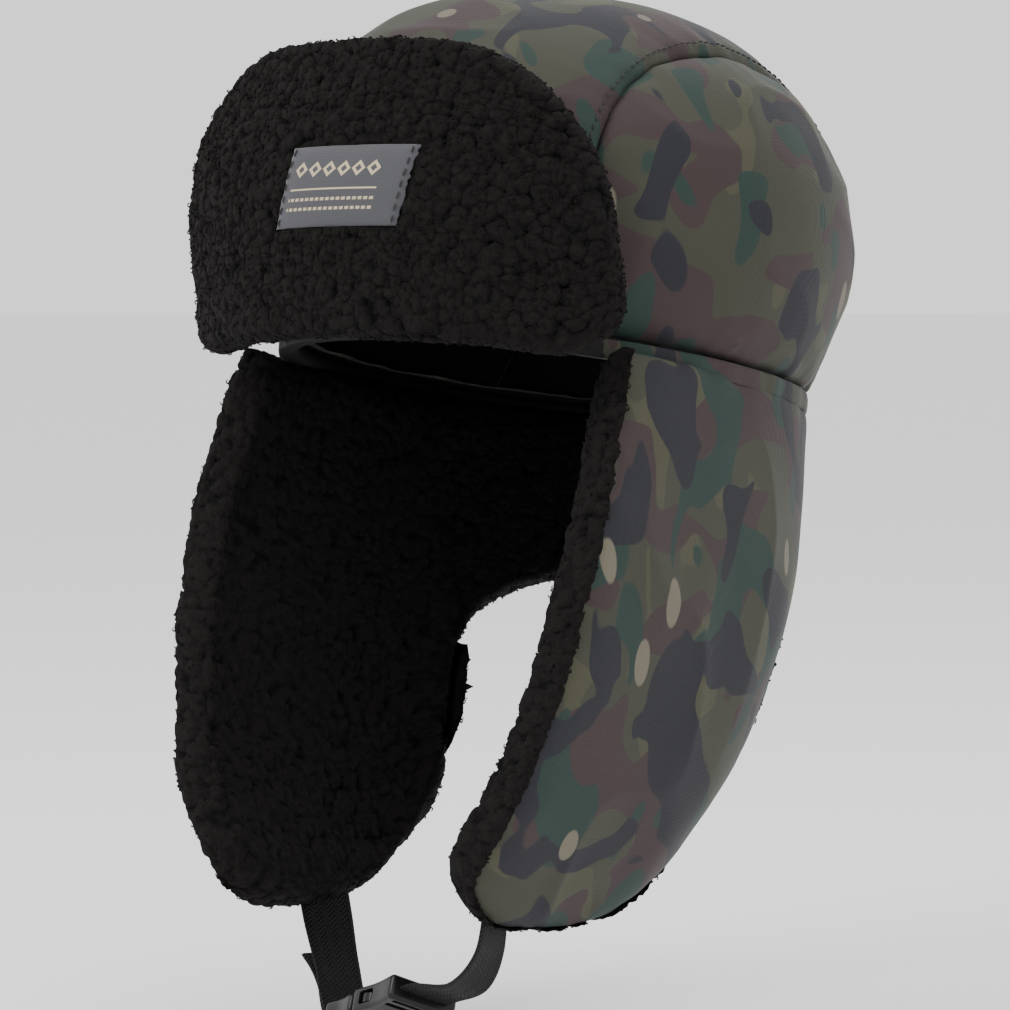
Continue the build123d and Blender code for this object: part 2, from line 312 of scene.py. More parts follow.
@dataclass(frozen=True)
class CamoCloth:
    """Printed polyester microfibre: matte, tightly woven, dyed in soft-edged blobs.

    The shell is brushed on its face, so it takes light evenly with only a faint sheen.
    """

    base: str = "#2e2f25"
    base_light: str = "#383829"
    brown: str = "#2f2223"
    navy: str = "#15151d"
    teal: str = "#182a25"
    tan: str = "#5e594c"
    blob: float = 29.0
    weave: float = 0.62

    def blotch(self, tree: bpy.types.NodeTree, coords: bpy.types.NodeSocket, shift: tuple, stretch: tuple,
               level: float, edge: float = 0.006) -> bpy.types.NodeSocket:
        """Mask of rounded blobs.

        Args:
            tree: the material's node tree.
            coords: object coordinates.
            shift: where in the noise this colour looks.
            stretch: how much each axis is squeezed.
            level: noise level above which the colour prints.
            edge: softness of the printed edge.
        Returns:
            Socket from 0 to 1.
        """
        placed = add_node(tree, "Mapping", None, Vector=coords, Location=shift, Scale=stretch)
        noise = add_node(tree, "TexNoise", None, Vector=placed.outputs[0], Scale=1 / (self.blob * MM),
                         Detail=0.6, Roughness=0.35, Distortion=0.55)
        ramp = add_node(tree, "MapRange", {"interpolation_type": "SMOOTHSTEP"}, Value=noise.outputs["Fac"])
        ramp.inputs["From Min"].default_value = level - edge
        ramp.inputs["From Max"].default_value = level + edge
        return ramp.outputs[0]

    def build(self) -> bpy.types.Material:
        """Make the material."""
        material, tree, shader = blank_material("printed_microfibre")
        coords = add_node(tree, "TexCoord").outputs["Object"]
        mix = colour(self.base)
        layers = [
            (self.base_light, (0.31, 0.12, 0.4), (1.3, 1.3, 0.8), 0.60),
            (self.brown, (1.7, 0.4, 0.2), (1.0, 0.9, 1.1), 0.535),
            (self.teal, (0.2, 2.3, 1.1), (1.3, 1.2, 0.75), 0.60),
            (self.navy, (2.9, 1.4, 3.7), (1.35, 1.25, 0.85), 0.585),
        ]
        current: object = mix
        for code, shift, stretch, level in layers:
            mask = self.blotch(tree, coords, shift, stretch, level)
            blend = add_node(tree, "Mix", {"data_type": "RGBA"}, i0=mask, i6=current, i7=colour(code))
            current = blend.outputs[2]
        current = self.ovals(tree, coords, current)
        fade = add_node(tree, "TexNoise", None, Vector=coords, Scale=9.0, Detail=3.0)
        shade = add_node(tree, "MapRange", None, Value=fade.outputs["Fac"])
        shade.inputs["To Min"].default_value = 0.86
        shade.inputs["To Max"].default_value = 1.12
        final = add_node(tree, "Mix", {"data_type": "RGBA", "blend_type": "MULTIPLY"}, i0=1.0, i6=current,
                         i7=shade.outputs[0])
        tree.links.new(final.outputs[2], shader.inputs["Base Color"])
        shader.inputs["Roughness"].default_value = 0.72
        shader.inputs["Sheen Weight"].default_value = 0.06
        shader.inputs["Sheen Roughness"].default_value = 0.45
        shader.inputs["Specular IOR Level"].default_value = 0.3
        self.weave_bump(tree, coords, shader)
        return material

    def ovals(self, tree: bpy.types.NodeTree, coords: bpy.types.NodeSocket, under: object) -> bpy.types.NodeSocket:
        """Print the few pale ovals over the blobs."""
        bent = add_node(tree, "Mapping", None, Vector=coords, Scale=(1.0, 1.0, 0.45), Rotation=(0.3, 0.2, 0.0))
        cells = add_node(tree, "TexVoronoi", {"feature": "F1"}, Vector=bent.outputs[0], Scale=1 / (21 * MM))
        spot = add_node(tree, "MapRange", {"interpolation_type": "SMOOTHSTEP"}, Value=cells.outputs["Distance"])
        spot.inputs["From Min"].default_value = 0.20
        spot.inputs["From Max"].default_value = 0.17
        split = add_node(tree, "SeparateColor", None, Color=cells.outputs["Color"])
        chosen = add_node(tree, "Math", {"operation": "GREATER_THAN"}, i0=split.outputs[0], i1=0.34)
        mask = add_node(tree, "Math", {"operation": "MULTIPLY"}, i0=spot.outputs[0], i1=chosen.outputs[0])
        blend = add_node(tree, "Mix", {"data_type": "RGBA"}, i0=mask.outputs[0], i6=under, i7=colour(self.tan))
        return blend.outputs[2]

    def weave_bump(self, tree: bpy.types.NodeTree, coords: bpy.types.NodeSocket, shader: bpy.types.Node) -> None:
        """Add the weave and the slight slubs of the yarn.

        The real thread is about 0.2 mm, too fine to show, so it is drawn at three times that.
        """
        waves = []
        for axis in ("X", "Z"):
            wave = add_node(tree, "TexWave", {"bands_direction": axis}, Vector=coords,
                            Scale=0.314 / (self.weave * MM), Distortion=0.6, Detail=1.0)
            waves.append(wave.outputs["Fac"])
        weave = add_node(tree, "Math", {"operation": "ADD"}, i0=waves[0], i1=waves[1])
        slub = add_node(tree, "TexNoise", None, Vector=coords, Scale=900.0, Detail=2.0)
        total = add_node(tree, "Math", {"operation": "MULTIPLY_ADD"}, i0=slub.outputs["Fac"], i1=1.4,
                         i2=weave.outputs[0])
        bump = add_node(tree, "Bump", None, Strength=0.16, Distance=0.0004, Height=total.outputs[0])
        tree.links.new(bump.outputs[0], shader.inputs["Normal"])


@dataclass(frozen=True)
class Pile:
    """Curled polyester sherpa pile: very dark, without gloss, furred by loose fibre ends."""

    name: str = "sherpa_pile"
    dark: str = "#020202"
    # the light colour is partly the pile's own brownish tone and partly painted highlight on the knot tips
    light: str = "#181514"
    fibre: float = 0.5

    def build(self) -> bpy.types.Material:
        """Make the material."""
        material, tree, shader = blank_material(self.name)
        coords = add_node(tree, "TexCoord").outputs["Object"]
        tone = add_node(tree, "TexNoise", None, Vector=coords, Scale=1 / (1.3 * MM), Detail=2.0)
        # painted light: knot tips take the light colour as painted highlight, crevices the dark one as painted shade
        lift = add_node(tree, "Attribute", {"attribute_name": "pile_painted_light"}).outputs["Fac"]
        both = add_node(tree, "Math", {"operation": "MULTIPLY"}, i0=lift, i1=tone.outputs["Fac"])
        level = add_node(tree, "MapRange", None, Value=both.outputs[0])
        level.inputs["From Min"].default_value = 0.08
        level.inputs["From Max"].default_value = 0.5
        mixed = add_node(tree, "Mix", {"data_type": "RGBA"}, i0=level.outputs[0], i6=colour(self.dark),
                         i7=colour(self.light))
        tree.links.new(mixed.outputs[2], shader.inputs["Base Color"])
        shader.inputs["Roughness"].default_value = 0.9
        shader.inputs["Specular IOR Level"].default_value = 0.1
        shader.inputs["Sheen Weight"].default_value = 0.05
        shader.inputs["Sheen Roughness"].default_value = 0.6
        shader.inputs["Sheen Tint"].default_value = colour("#8a8583")
        bent = add_node(tree, "TexNoise", None, Vector=coords, Scale=1 / (1.6 * MM), Detail=1.0)
        strands = add_node(tree, "TexWave", {"bands_direction": "DIAGONAL"}, Vector=bent.outputs["Color"],
                           Scale=5.0, Distortion=6.0, Detail=2.0)
        fuzz = add_node(tree, "TexNoise", None, Vector=coords, Scale=1 / (self.fibre * MM), Detail=3.0)
        height = add_node(tree, "Math", {"operation": "ADD"}, i0=strands.outputs["Fac"], i1=fuzz.outputs["Fac"])
        bump = add_node(tree, "Bump", None, Strength=0.7, Distance=0.0006, Height=height.outputs[0])
        tree.links.new(bump.outputs[0], shader.inputs["Normal"])
        return material


@dataclass(frozen=True)
class Lining:
    """Black nylon taffeta lining: smooth plain weave with a low satin gloss."""

    dark: str = "#0d0d0e"

    def build(self) -> bpy.types.Material:
        """Make the material."""
        material, tree, shader = blank_material("nylon_lining")
        coords = add_node(tree, "TexCoord").outputs["Object"]
        tone = add_node(tree, "TexNoise", None, Vector=coords, Scale=30.0, Detail=4.0)
        mixed = add_node(tree, "Mix", {"data_type": "RGBA"}, i0=tone.outputs["Fac"], i6=colour(self.dark),
                         i7=colour("#141315"))
        tree.links.new(mixed.outputs[2], shader.inputs["Base Color"])
        shader.inputs["Roughness"].default_value = 0.7
        shader.inputs["Specular IOR Level"].default_value = 0.2
        fine = add_node(tree, "TexNoise", None, Vector=coords, Scale=1 / (0.6 * MM), Detail=2.0)
        bump = add_node(tree, "Bump", None, Strength=0.2, Distance=0.0003, Height=fine.outputs["Fac"])
        tree.links.new(bump.outputs[0], shader.inputs["Normal"])
        return material


@dataclass(frozen=True)
class Webbing:
    """Woven polypropylene webbing: black, ribbed across, a zigzag of twill along its middle."""

    dark: str = "#060606"
    light: str = "#171716"
    rib: float = 1.6
    width: float = 20.0

    def build(self) -> bpy.types.Material:
        """Make the material; its UV map is in millimetres along and across the strap."""
        material, tree, shader = blank_material("polypropylene_webbing")
        uv = add_node(tree, "UVMap", {"uv_map": "UVMap"}).outputs[0]
        axes = add_node(tree, "SeparateXYZ", None, Vector=uv)
        fold = add_node(tree, "Math", {"operation": "PINGPONG"}, i0=axes.outputs[1], i1=self.width / 8)
        slant = add_node(tree, "Math", {"operation": "MULTIPLY_ADD"}, i0=fold.outputs[0], i1=0.9,
                         i2=axes.outputs[0])
        rib = add_node(tree, "Math", {"operation": "PINGPONG"}, i0=slant.outputs[0], i1=self.rib / 2)
        level = add_node(tree, "MapRange", {"interpolation_type": "SMOOTHSTEP"}, Value=rib.outputs[0])
        level.inputs["From Max"].default_value = self.rib / 2
        mixed = add_node(tree, "Mix", {"data_type": "RGBA"}, i0=level.outputs[0], i6=colour(self.dark),
                         i7=colour(self.light))
        tree.links.new(mixed.outputs[2], shader.inputs["Base Color"])
        shader.inputs["Roughness"].default_value = 0.65
        shader.inputs["Specular IOR Level"].default_value = 0.2
        bump = add_node(tree, "Bump", None, Strength=0.9, Distance=0.0005, Height=level.outputs[0])
        tree.links.new(bump.outputs[0], shader.inputs["Normal"])
        return material


@dataclass(frozen=True)
class Acetal:
    """Injection-moulded acetal: black, evenly glossy, with the mould's very fine texture."""

    def build(self) -> bpy.types.Material:
        """Make the material."""
        material, tree, shader = blank_material("moulded_acetal")
        coords = add_node(tree, "TexCoord").outputs["Object"]
        tone = add_node(tree, "TexNoise", None, Vector=coords, Scale=220.0, Detail=3.0)
        mixed = add_node(tree, "Mix", {"data_type": "RGBA"}, i0=tone.outputs["Fac"], i6=colour("#08080a"),
                         i7=colour("#0e0e10"))
        tree.links.new(mixed.outputs[2], shader.inputs["Base Color"])
        rough = add_node(tree, "MapRange", None, Value=tone.outputs["Fac"])
        rough.inputs["To Min"].default_value = 0.26
        rough.inputs["To Max"].default_value = 0.4
        tree.links.new(rough.outputs[0], shader.inputs["Roughness"])
        shader.inputs["IOR"].default_value = 1.48
        shader.inputs["Specular IOR Level"].default_value = 0.3
        grain = add_node(tree, "TexNoise", None, Vector=coords, Scale=1 / (0.35 * MM), Detail=1.0)
        bump = add_node(tree, "Bump", None, Strength=0.08, Distance=0.0002, Height=grain.outputs["Fac"])
        tree.links.new(bump.outputs[0], shader.inputs["Normal"])
        return material


@dataclass(frozen=True)
class WovenLabel:
    """Damask-woven polyester label: slate ground of fine horizontal picks, slightly satin."""

    ground: str = "#36363c"
    pick: float = 0.55

    def build(self) -> bpy.types.Material:
        """Make the material."""
        material, tree, shader = blank_material("damask_label")
        uv = add_node(tree, "UVMap", {"uv_map": "UVMap"}).outputs[0]
        axes = add_node(tree, "SeparateXYZ", None, Vector=uv)
        pick = add_node(tree, "Math", {"operation": "PINGPONG"}, i0=axes.outputs[1], i1=self.pick / 2)
        warp = add_node(tree, "Math", {"operation": "PINGPONG"}, i0=axes.outputs[0], i1=self.pick / 2)
        grid = add_node(tree, "Math", {"operation": "MULTIPLY"}, i0=pick.outputs[0], i1=warp.outputs[0])
        level = add_node(tree, "MapRange", None, Value=grid.outputs[0])
        level.inputs["From Max"].default_value = (self.pick / 2) ** 2
        mixed = add_node(tree, "Mix", {"data_type": "RGBA"}, i0=level.outputs[0], i6=colour("#2a2a30"),
                         i7=colour(self.ground))
        printed = self.motif(tree, axes, mixed.outputs[2])
        tree.links.new(printed, shader.inputs["Base Color"])
        shader.inputs["Roughness"].default_value = 0.6
        shader.inputs["Sheen Weight"].default_value = 0.2
        bump = add_node(tree, "Bump", None, Strength=0.4, Distance=0.0003, Height=level.outputs[0])
        tree.links.new(bump.outputs[0], shader.inputs["Normal"])
        return material


    def motif(self, tree: bpy.types.NodeTree, axes: bpy.types.Node, ground: bpy.types.NodeSocket) -> bpy.types.NodeSocket:
        """Weave in a plain pattern in pale thread: a row of diamonds, a rule and two rows of dashes."""
        x, y = axes.outputs[0], axes.outputs[1]

        def maths(operation: str, first: object, second: object) -> bpy.types.NodeSocket:
            return add_node(tree, "Math", {"operation": operation}, i0=first, i1=second).outputs[0]

        def near(value: bpy.types.NodeSocket, place: float, half: float) -> bpy.types.NodeSocket:
            gap = maths("ABSOLUTE", maths("SUBTRACT", value, place), 0.0)
            return maths("LESS_THAN", gap, half)

        shown = near(x, -3.0, 18.0)
        saw = maths("PINGPONG", maths("ADD", x, 30.0), 3.0)
        tall = maths("ABSOLUTE", maths("SUBTRACT", y, 5.6), 0.0)
        diamond = maths("ADD", saw, tall)
        solid = maths("MULTIPLY", maths("LESS_THAN", diamond, 2.7), maths("GREATER_THAN", diamond, 1.3))
        rule = near(y, -1.2, 0.3)
        dash = maths("LESS_THAN", maths("PINGPONG", maths("ADD", x, 30.0), 1.1), 0.75)
        rows = maths("MULTIPLY", dash, maths("ADD", near(y, -4.6, 0.5), near(y, -7.8, 0.5)))
        total = maths("MULTIPLY", maths("MAXIMUM", maths("MAXIMUM", solid, rule), rows), shown)
        blend = add_node(tree, "Mix", {"data_type": "RGBA"}, i0=total, i6=ground, i7=colour("#a8997c"))
        return blend.outputs[2]


@dataclass(frozen=True)
class Thread:
    """Spun polyester sewing thread: dull, with the twist of its plies."""

    name: str
    code: str

    def build(self) -> bpy.types.Material:
        """Make the material."""
        material, tree, shader = blank_material(self.name)
        coords = add_node(tree, "TexCoord").outputs["Object"]
        twist = add_node(tree, "TexWave", {"bands_direction": "DIAGONAL"}, Vector=coords, Scale=500.0,
                         Distortion=1.0)
        mixed = add_node(tree, "Mix", {"data_type": "RGBA", "blend_type": "MULTIPLY"}, i0=0.35,
                         i6=colour(self.code), i7=twist.outputs["Color"])
        tree.links.new(mixed.outputs[2], shader.inputs["Base Color"])
        shader.inputs["Roughness"].default_value = 0.7
        bump = add_node(tree, "Bump", None, Strength=0.5, Distance=0.0002, Height=twist.outputs["Fac"])
        tree.links.new(bump.outputs[0], shader.inputs["Normal"])
        return material


class Finish(Enum):
    """The hat's finishes."""

    CAMO = CamoCloth()
    PILE = Pile()
    LINING = Lining()
    WEBBING = Webbing()
    ACETAL = Acetal()
    LABEL = WovenLabel()
    SEAM_THREAD = Thread("seam_thread", "#121214")
    PRINT_THREAD = Thread("label_thread", "#b9a98a")

    def material(self) -> bpy.types.Material:
        """The finish's material, made once."""
        if not hasattr(self, "_made"):
            self._made = self.value.build()
        return self._made

    def dress(self, piece: bpy.types.Object) -> None:
        """Give a piece this finish alone."""
        piece.data.materials.clear()
        piece.data.materials.append(self.material())


# ---------------------------------------------------------------- pile

@dataclass
class Roll:
    """A pad's edge, where its pile side turns over to meet its cloth side.

    Attributes:
        line: (k, 3) points along the cloth's edge.
        outwards: (k, 3) unit vectors in the cloth's plane, away from it.
        depth: distance from cloth face to pile face.
        bulge: how far the pile stands out beyond the cloth.
        width: cloth distance that the turn takes up.
    """

    line: Array
    outwards: Array
    depth: float
    bulge: float = 2.5
    width: float = 3.0
    settle: float = 10.0

    def turn(self, base: Array, normals: Array, depth_scale: Array) -> tuple[Array, Array, Array]:
        """Wrap a grid on the cloth's surface round to the pile side.

        Args:
            base: (n, 3) points on the cloth's surface.
            normals: (n, 3) unit vectors out of the cloth side.
            depth_scale: (n,) share of the full depth at each point.
        Returns:
            Points on the pile's surface, its outward normals, and distance from the edge.
        """
        away, nearest = distance_to_line(base, self.line)
        side = self.outwards[nearest]
        share = np.clip(away / self.width, 0, 1)
        angle = math.pi * share
        left = np.clip(away - self.width, 0, None)
        shift = np.where(share < 1, away, self.width * (1 - eased(left, 0, self.settle)))
        out = shift + self.bulge * np.sin(angle)
        depth = self.depth * depth_scale * (1 - np.cos(angle)) / 2
        points = base + side * out[:, None] - normals * (depth + 0.4)[:, None]
        facing = side * np.sin(angle)[:, None] + normals * np.cos(angle)[:, None]
        return points, facing / np.linalg.norm(facing, axis=1)[:, None], away


@dataclass
class Fleece:
    """Nubby curled surface and loose curls that make a smooth grid into sherpa."""

    seed: int
    coarse: float = 4.3
    fine: float = 2.2
    height: float = 2.5
    curls: int = 5200
    # share painted as light on the pile: high on knot tips, low in crevices
    lift: Array = field(default_factory=lambda: np.zeros(0))

    def roughen(self, points: Array, facing: Array, amount: Array) -> Array:
        """Raise knots of curled pile on a surface.

        Args:
            points: (n, 3) millimetres.
            facing: (n, 3) outward normals.
            amount: (n,) share of the full height.
        Returns:
            Moved points.
        """
        warp = np.stack([soft_noise(points, 6.5, self.seed + k) for k in range(3)], 1)
        big, big_away = nearest_knot(points + warp * 2.0, self.coarse, self.seed + 10)
        small, _ = nearest_knot(points + warp * 0.8, self.fine, self.seed + 20)
        lump = np.sqrt(np.clip(1 - (big / 0.85) ** 2, 0, None))
        nub = np.sqrt(np.clip(1 - (small / 0.85) ** 2, 0, None))
        swell = soft_noise(points, 17.0, self.seed + 30)
        rise = self.height * (lump - 0.55) + 0.85 * (nub - 0.5) + 0.7 * swell
        flat = big_away - facing * (big_away * facing).sum(1)[:, None]
        spread = flat * (lump * 0.22)[:, None]
        # painted light: high on knot tips for painted highlight, low in crevices for painted shade
        self.lift = np.clip(0.25 + 0.55 * (lump - 0.4) + 0.5 * (nub - 0.4), 0, 1)
        return points + facing * (rise * amount)[:, None] + spread * amount[:, None]

    def tufts(self, name: str, points: Array, facing: Array, amount: Array) -> bpy.types.Object:
        """Small hooked curls standing off a surface.

        Args:
            name: the new object's name.
            points: (n, 3) surface points.
            facing: (n, 3) outward normals.
            amount: (n,) share, curls grow only above a half.
        Returns:
            One object that holds every curl.
        """
        random = np.random.default_rng(self.seed)
        usable = np.flatnonzero(amount > 0.5)
        chosen = random.choice(usable, self.curls)
        root, up = points[chosen] - facing[chosen] * 0.3, facing[chosen]
        lean = random.normal(size=(self.curls, 3))
        lean -= up * (lean * up).sum(1)[:, None]
        lean /= np.linalg.norm(lean, axis=1)[:, None]
        side = np.cross(up, lean)
        reach = random.uniform(0.45, 1.0, self.curls)
        sweep = random.uniform(3.0, 4.6, self.curls)
        rings = []
        for step in range(7):
            part = step / 6
            angle = part * sweep
            radius = reach * (1 - 0.35 * part)
            centre = (root + lean * (radius * np.sin(angle))[:, None]
                      + up * (radius * (1 - np.cos(angle)) * 0.75 - 0.1)[:, None]
                      + side * (part * 0.8 * reach)[:, None])
            thick = 0.42 * (1 - 0.5 * part)
            ahead = lean * np.cos(angle)[:, None] + up * np.sin(angle)[:, None]
            across = np.cross(ahead, side)
            for corner in range(3):
                turn = corner * 2 * math.pi / 3
                rings.append(centre + thick * (side * math.cos(turn) + across * math.sin(turn)))
        corners = np.stack(rings, 1).reshape(-1, 3)
        faces = []
        for step in range(6):
            for corner in range(3):
                after = (corner + 1) % 3
                faces.append([step * 3 + corner, step * 3 + after, step * 3 + 3 + after, step * 3 + 3 + corner])
        count = np.arange(self.curls)[:, None, None] * 21
        quads = (np.array(faces)[None] + count).reshape(-1, 4)
        mesh = bpy.data.meshes.new(name)
        mesh.from_pydata((corners * MM).tolist(), [], quads.tolist())
        mesh.update()
        tufts = bpy.data.objects.new(name, mesh)
        bpy.context.scene.collection.objects.link(tufts)
        pick(tufts)
        bpy.ops.object.shade_smooth()
        return tufts


def mark_painted_light(piece: bpy.types.Object, lift: Array) -> None:
    """Store how far each point stands up in the pile, for the pile's painted light: tips painted lighter as highlight,
    crevices painted darker as shade.
    """
    attribute = piece.data.attributes.new("pile_painted_light", "FLOAT", "POINT")
    attribute.data.foreach_set("value", lift.astype(np.float32))


def fleece_piece(name: str, grid: tuple[int, int], surface: "Surface", roll: Roll, fleece: Fleece,
                 pressed: Optional[Callable[[Array], Array]] = None) -> bpy.types.Object:
    """Make one pile piece on a cloth surface.

    Args:
        name: the piece's name.
        grid: faces each way.
        surface: the cloth's surface.
        roll: how its edge turns over.
        fleece: its pile.
        pressed: share of the pile left standing at each point, if something lies on it.
    Returns:
        The piece.
    """
    store: dict[str, Array] = {}

    def shape(u: Array, v: Array) -> Array:
        base, normals, share = surface.at(*surface.crowd(u, v))
        points, facing, _ = roll.turn(base, normals, share)
        standing = np.ones(len(points)) if pressed is None else pressed(points)
        rough = fleece.roughen(points, facing, standing)
        store.update(points=rough, facing=facing, standing=standing * (share > 0.7))
        return tipped(rough)

    piece = cloth_grid(name, grid[0], grid[1], shape)
    spin = tipped(np.eye(3))
    curls = fleece.tufts(name + "_curls", tipped(store["points"]), store["facing"] @ spin, store["standing"])
    facing = store["facing"] @ spin
    if (normals_of(piece) * facing).sum(1).mean() < 0:
        pick(piece)
        bpy.ops.object.mode_set(mode="EDIT")
        bpy.ops.mesh.select_all(action="SELECT")
        bpy.ops.mesh.flip_normals()
        bpy.ops.object.mode_set(mode="OBJECT")
    mark_painted_light(piece, fleece.lift)
    # loose curls get a high share, so they take the painted highlight
    mark_painted_light(curls, np.random.default_rng(fleece.seed).uniform(0.5, 1.0, len(curls.data.vertices)))
    Finish.PILE.dress(piece)
    Finish.PILE.dress(curls)
    clear_selection()
    curls.select_set(True)
    piece.select_set(True)
    bpy.context.view_layer.objects.active = piece
    bpy.ops.object.join()
    return piece


class Surface:
    """A cloth surface with four sides, each coordinate running from 0 to 1."""

    def place(self, u: Array, v: Array) -> Array:
        """Points for the coordinates, in the band's frame."""
        raise NotImplementedError

    def share(self, u: Array, v: Array) -> Array:
        """Share of the full padding depth at the coordinates."""
        return np.ones(len(u))

    def outward(self, points: Array) -> Array:
        """Vectors that the cloth side's normals agree with."""
        raise NotImplementedError

    def normals(self, u: Array, v: Array) -> Array:
        """Unit normals out of the cloth side."""
        step = 0.003
        ahead_u = self.place(np.clip(u + step, 0, 1), v) - self.place(np.clip(u - step, 0, 1), v)
        ahead_v = self.place(u, np.clip(v + step, 0, 1)) - self.place(u, np.clip(v - step, 0, 1))
        normal = np.cross(ahead_u, ahead_v)
        normal /= np.maximum(np.linalg.norm(normal, axis=1), 1e-9)[:, None]
        flip = np.sign((normal * self.outward(self.place(u, v))).sum(1))
        return normal * np.where(flip == 0, 1, flip)[:, None]

    def crowd(self, u: Array, v: Array) -> tuple[Array, Array]:
        """Crowd even coordinates towards the rolled edges."""
        raise NotImplementedError

    def at(self, u: Array, v: Array) -> tuple[Array, Array, Array]:
        """Points, normals and padding share for the coordinates."""
        return self.place(u, v), self.normals(u, v), self.share(u, v)

    def roll(self, u: Array, v: Array, **sizes: float) -> Roll:
        """Roll along the line of coordinates u, v."""
        line = self.place(u, v)
        normals = self.normals(u, v)
        along = np.gradient(line, axis=0)
        along /= np.linalg.norm(along, axis=1)[:, None]
        outwards = np.cross(along, normals)
        inside = self.place(u * 0.9 + 0.05, v * 0.9 + 0.05) - line
        flip = -np.sign((outwards * inside).sum(1))
        outwards *= np.sign(flip.sum())
        return Roll(line, outwards, **sizes)


def four_sided(low: Array, high: Array, start: Array, end: Array, u: Array, v: Array) -> Array:
    """Fill between four boundary curves.

    Args:
        low: curve at v = 0, from u = 0 to 1.
        high: curve at v = 1.
        start: curve at u = 0, from v = 0 to 1.
        end: curve at u = 1.
        u: first coordinate.
        v: second coordinate.
    Returns:
        (n, 2) points.
    """
    def along(curve: Array, part: Array) -> Array:
        even = np.linspace(0, 1, len(curve))
        return np.stack([np.interp(part, even, curve[:, k]) for k in range(2)], 1)

    first, second = u[:, None], v[:, None]
    sides = (along(low, u) * (1 - second) + along(high, u) * second
             + along(start, v) * (1 - first) + along(end, v) * first)
    corners = (low[0] * (1 - first) * (1 - second) + low[-1] * first * (1 - second)
               + high[0] * (1 - first) * second + high[-1] * first * second)
    return sides - corners


# ---------------------------------------------------------------- crown

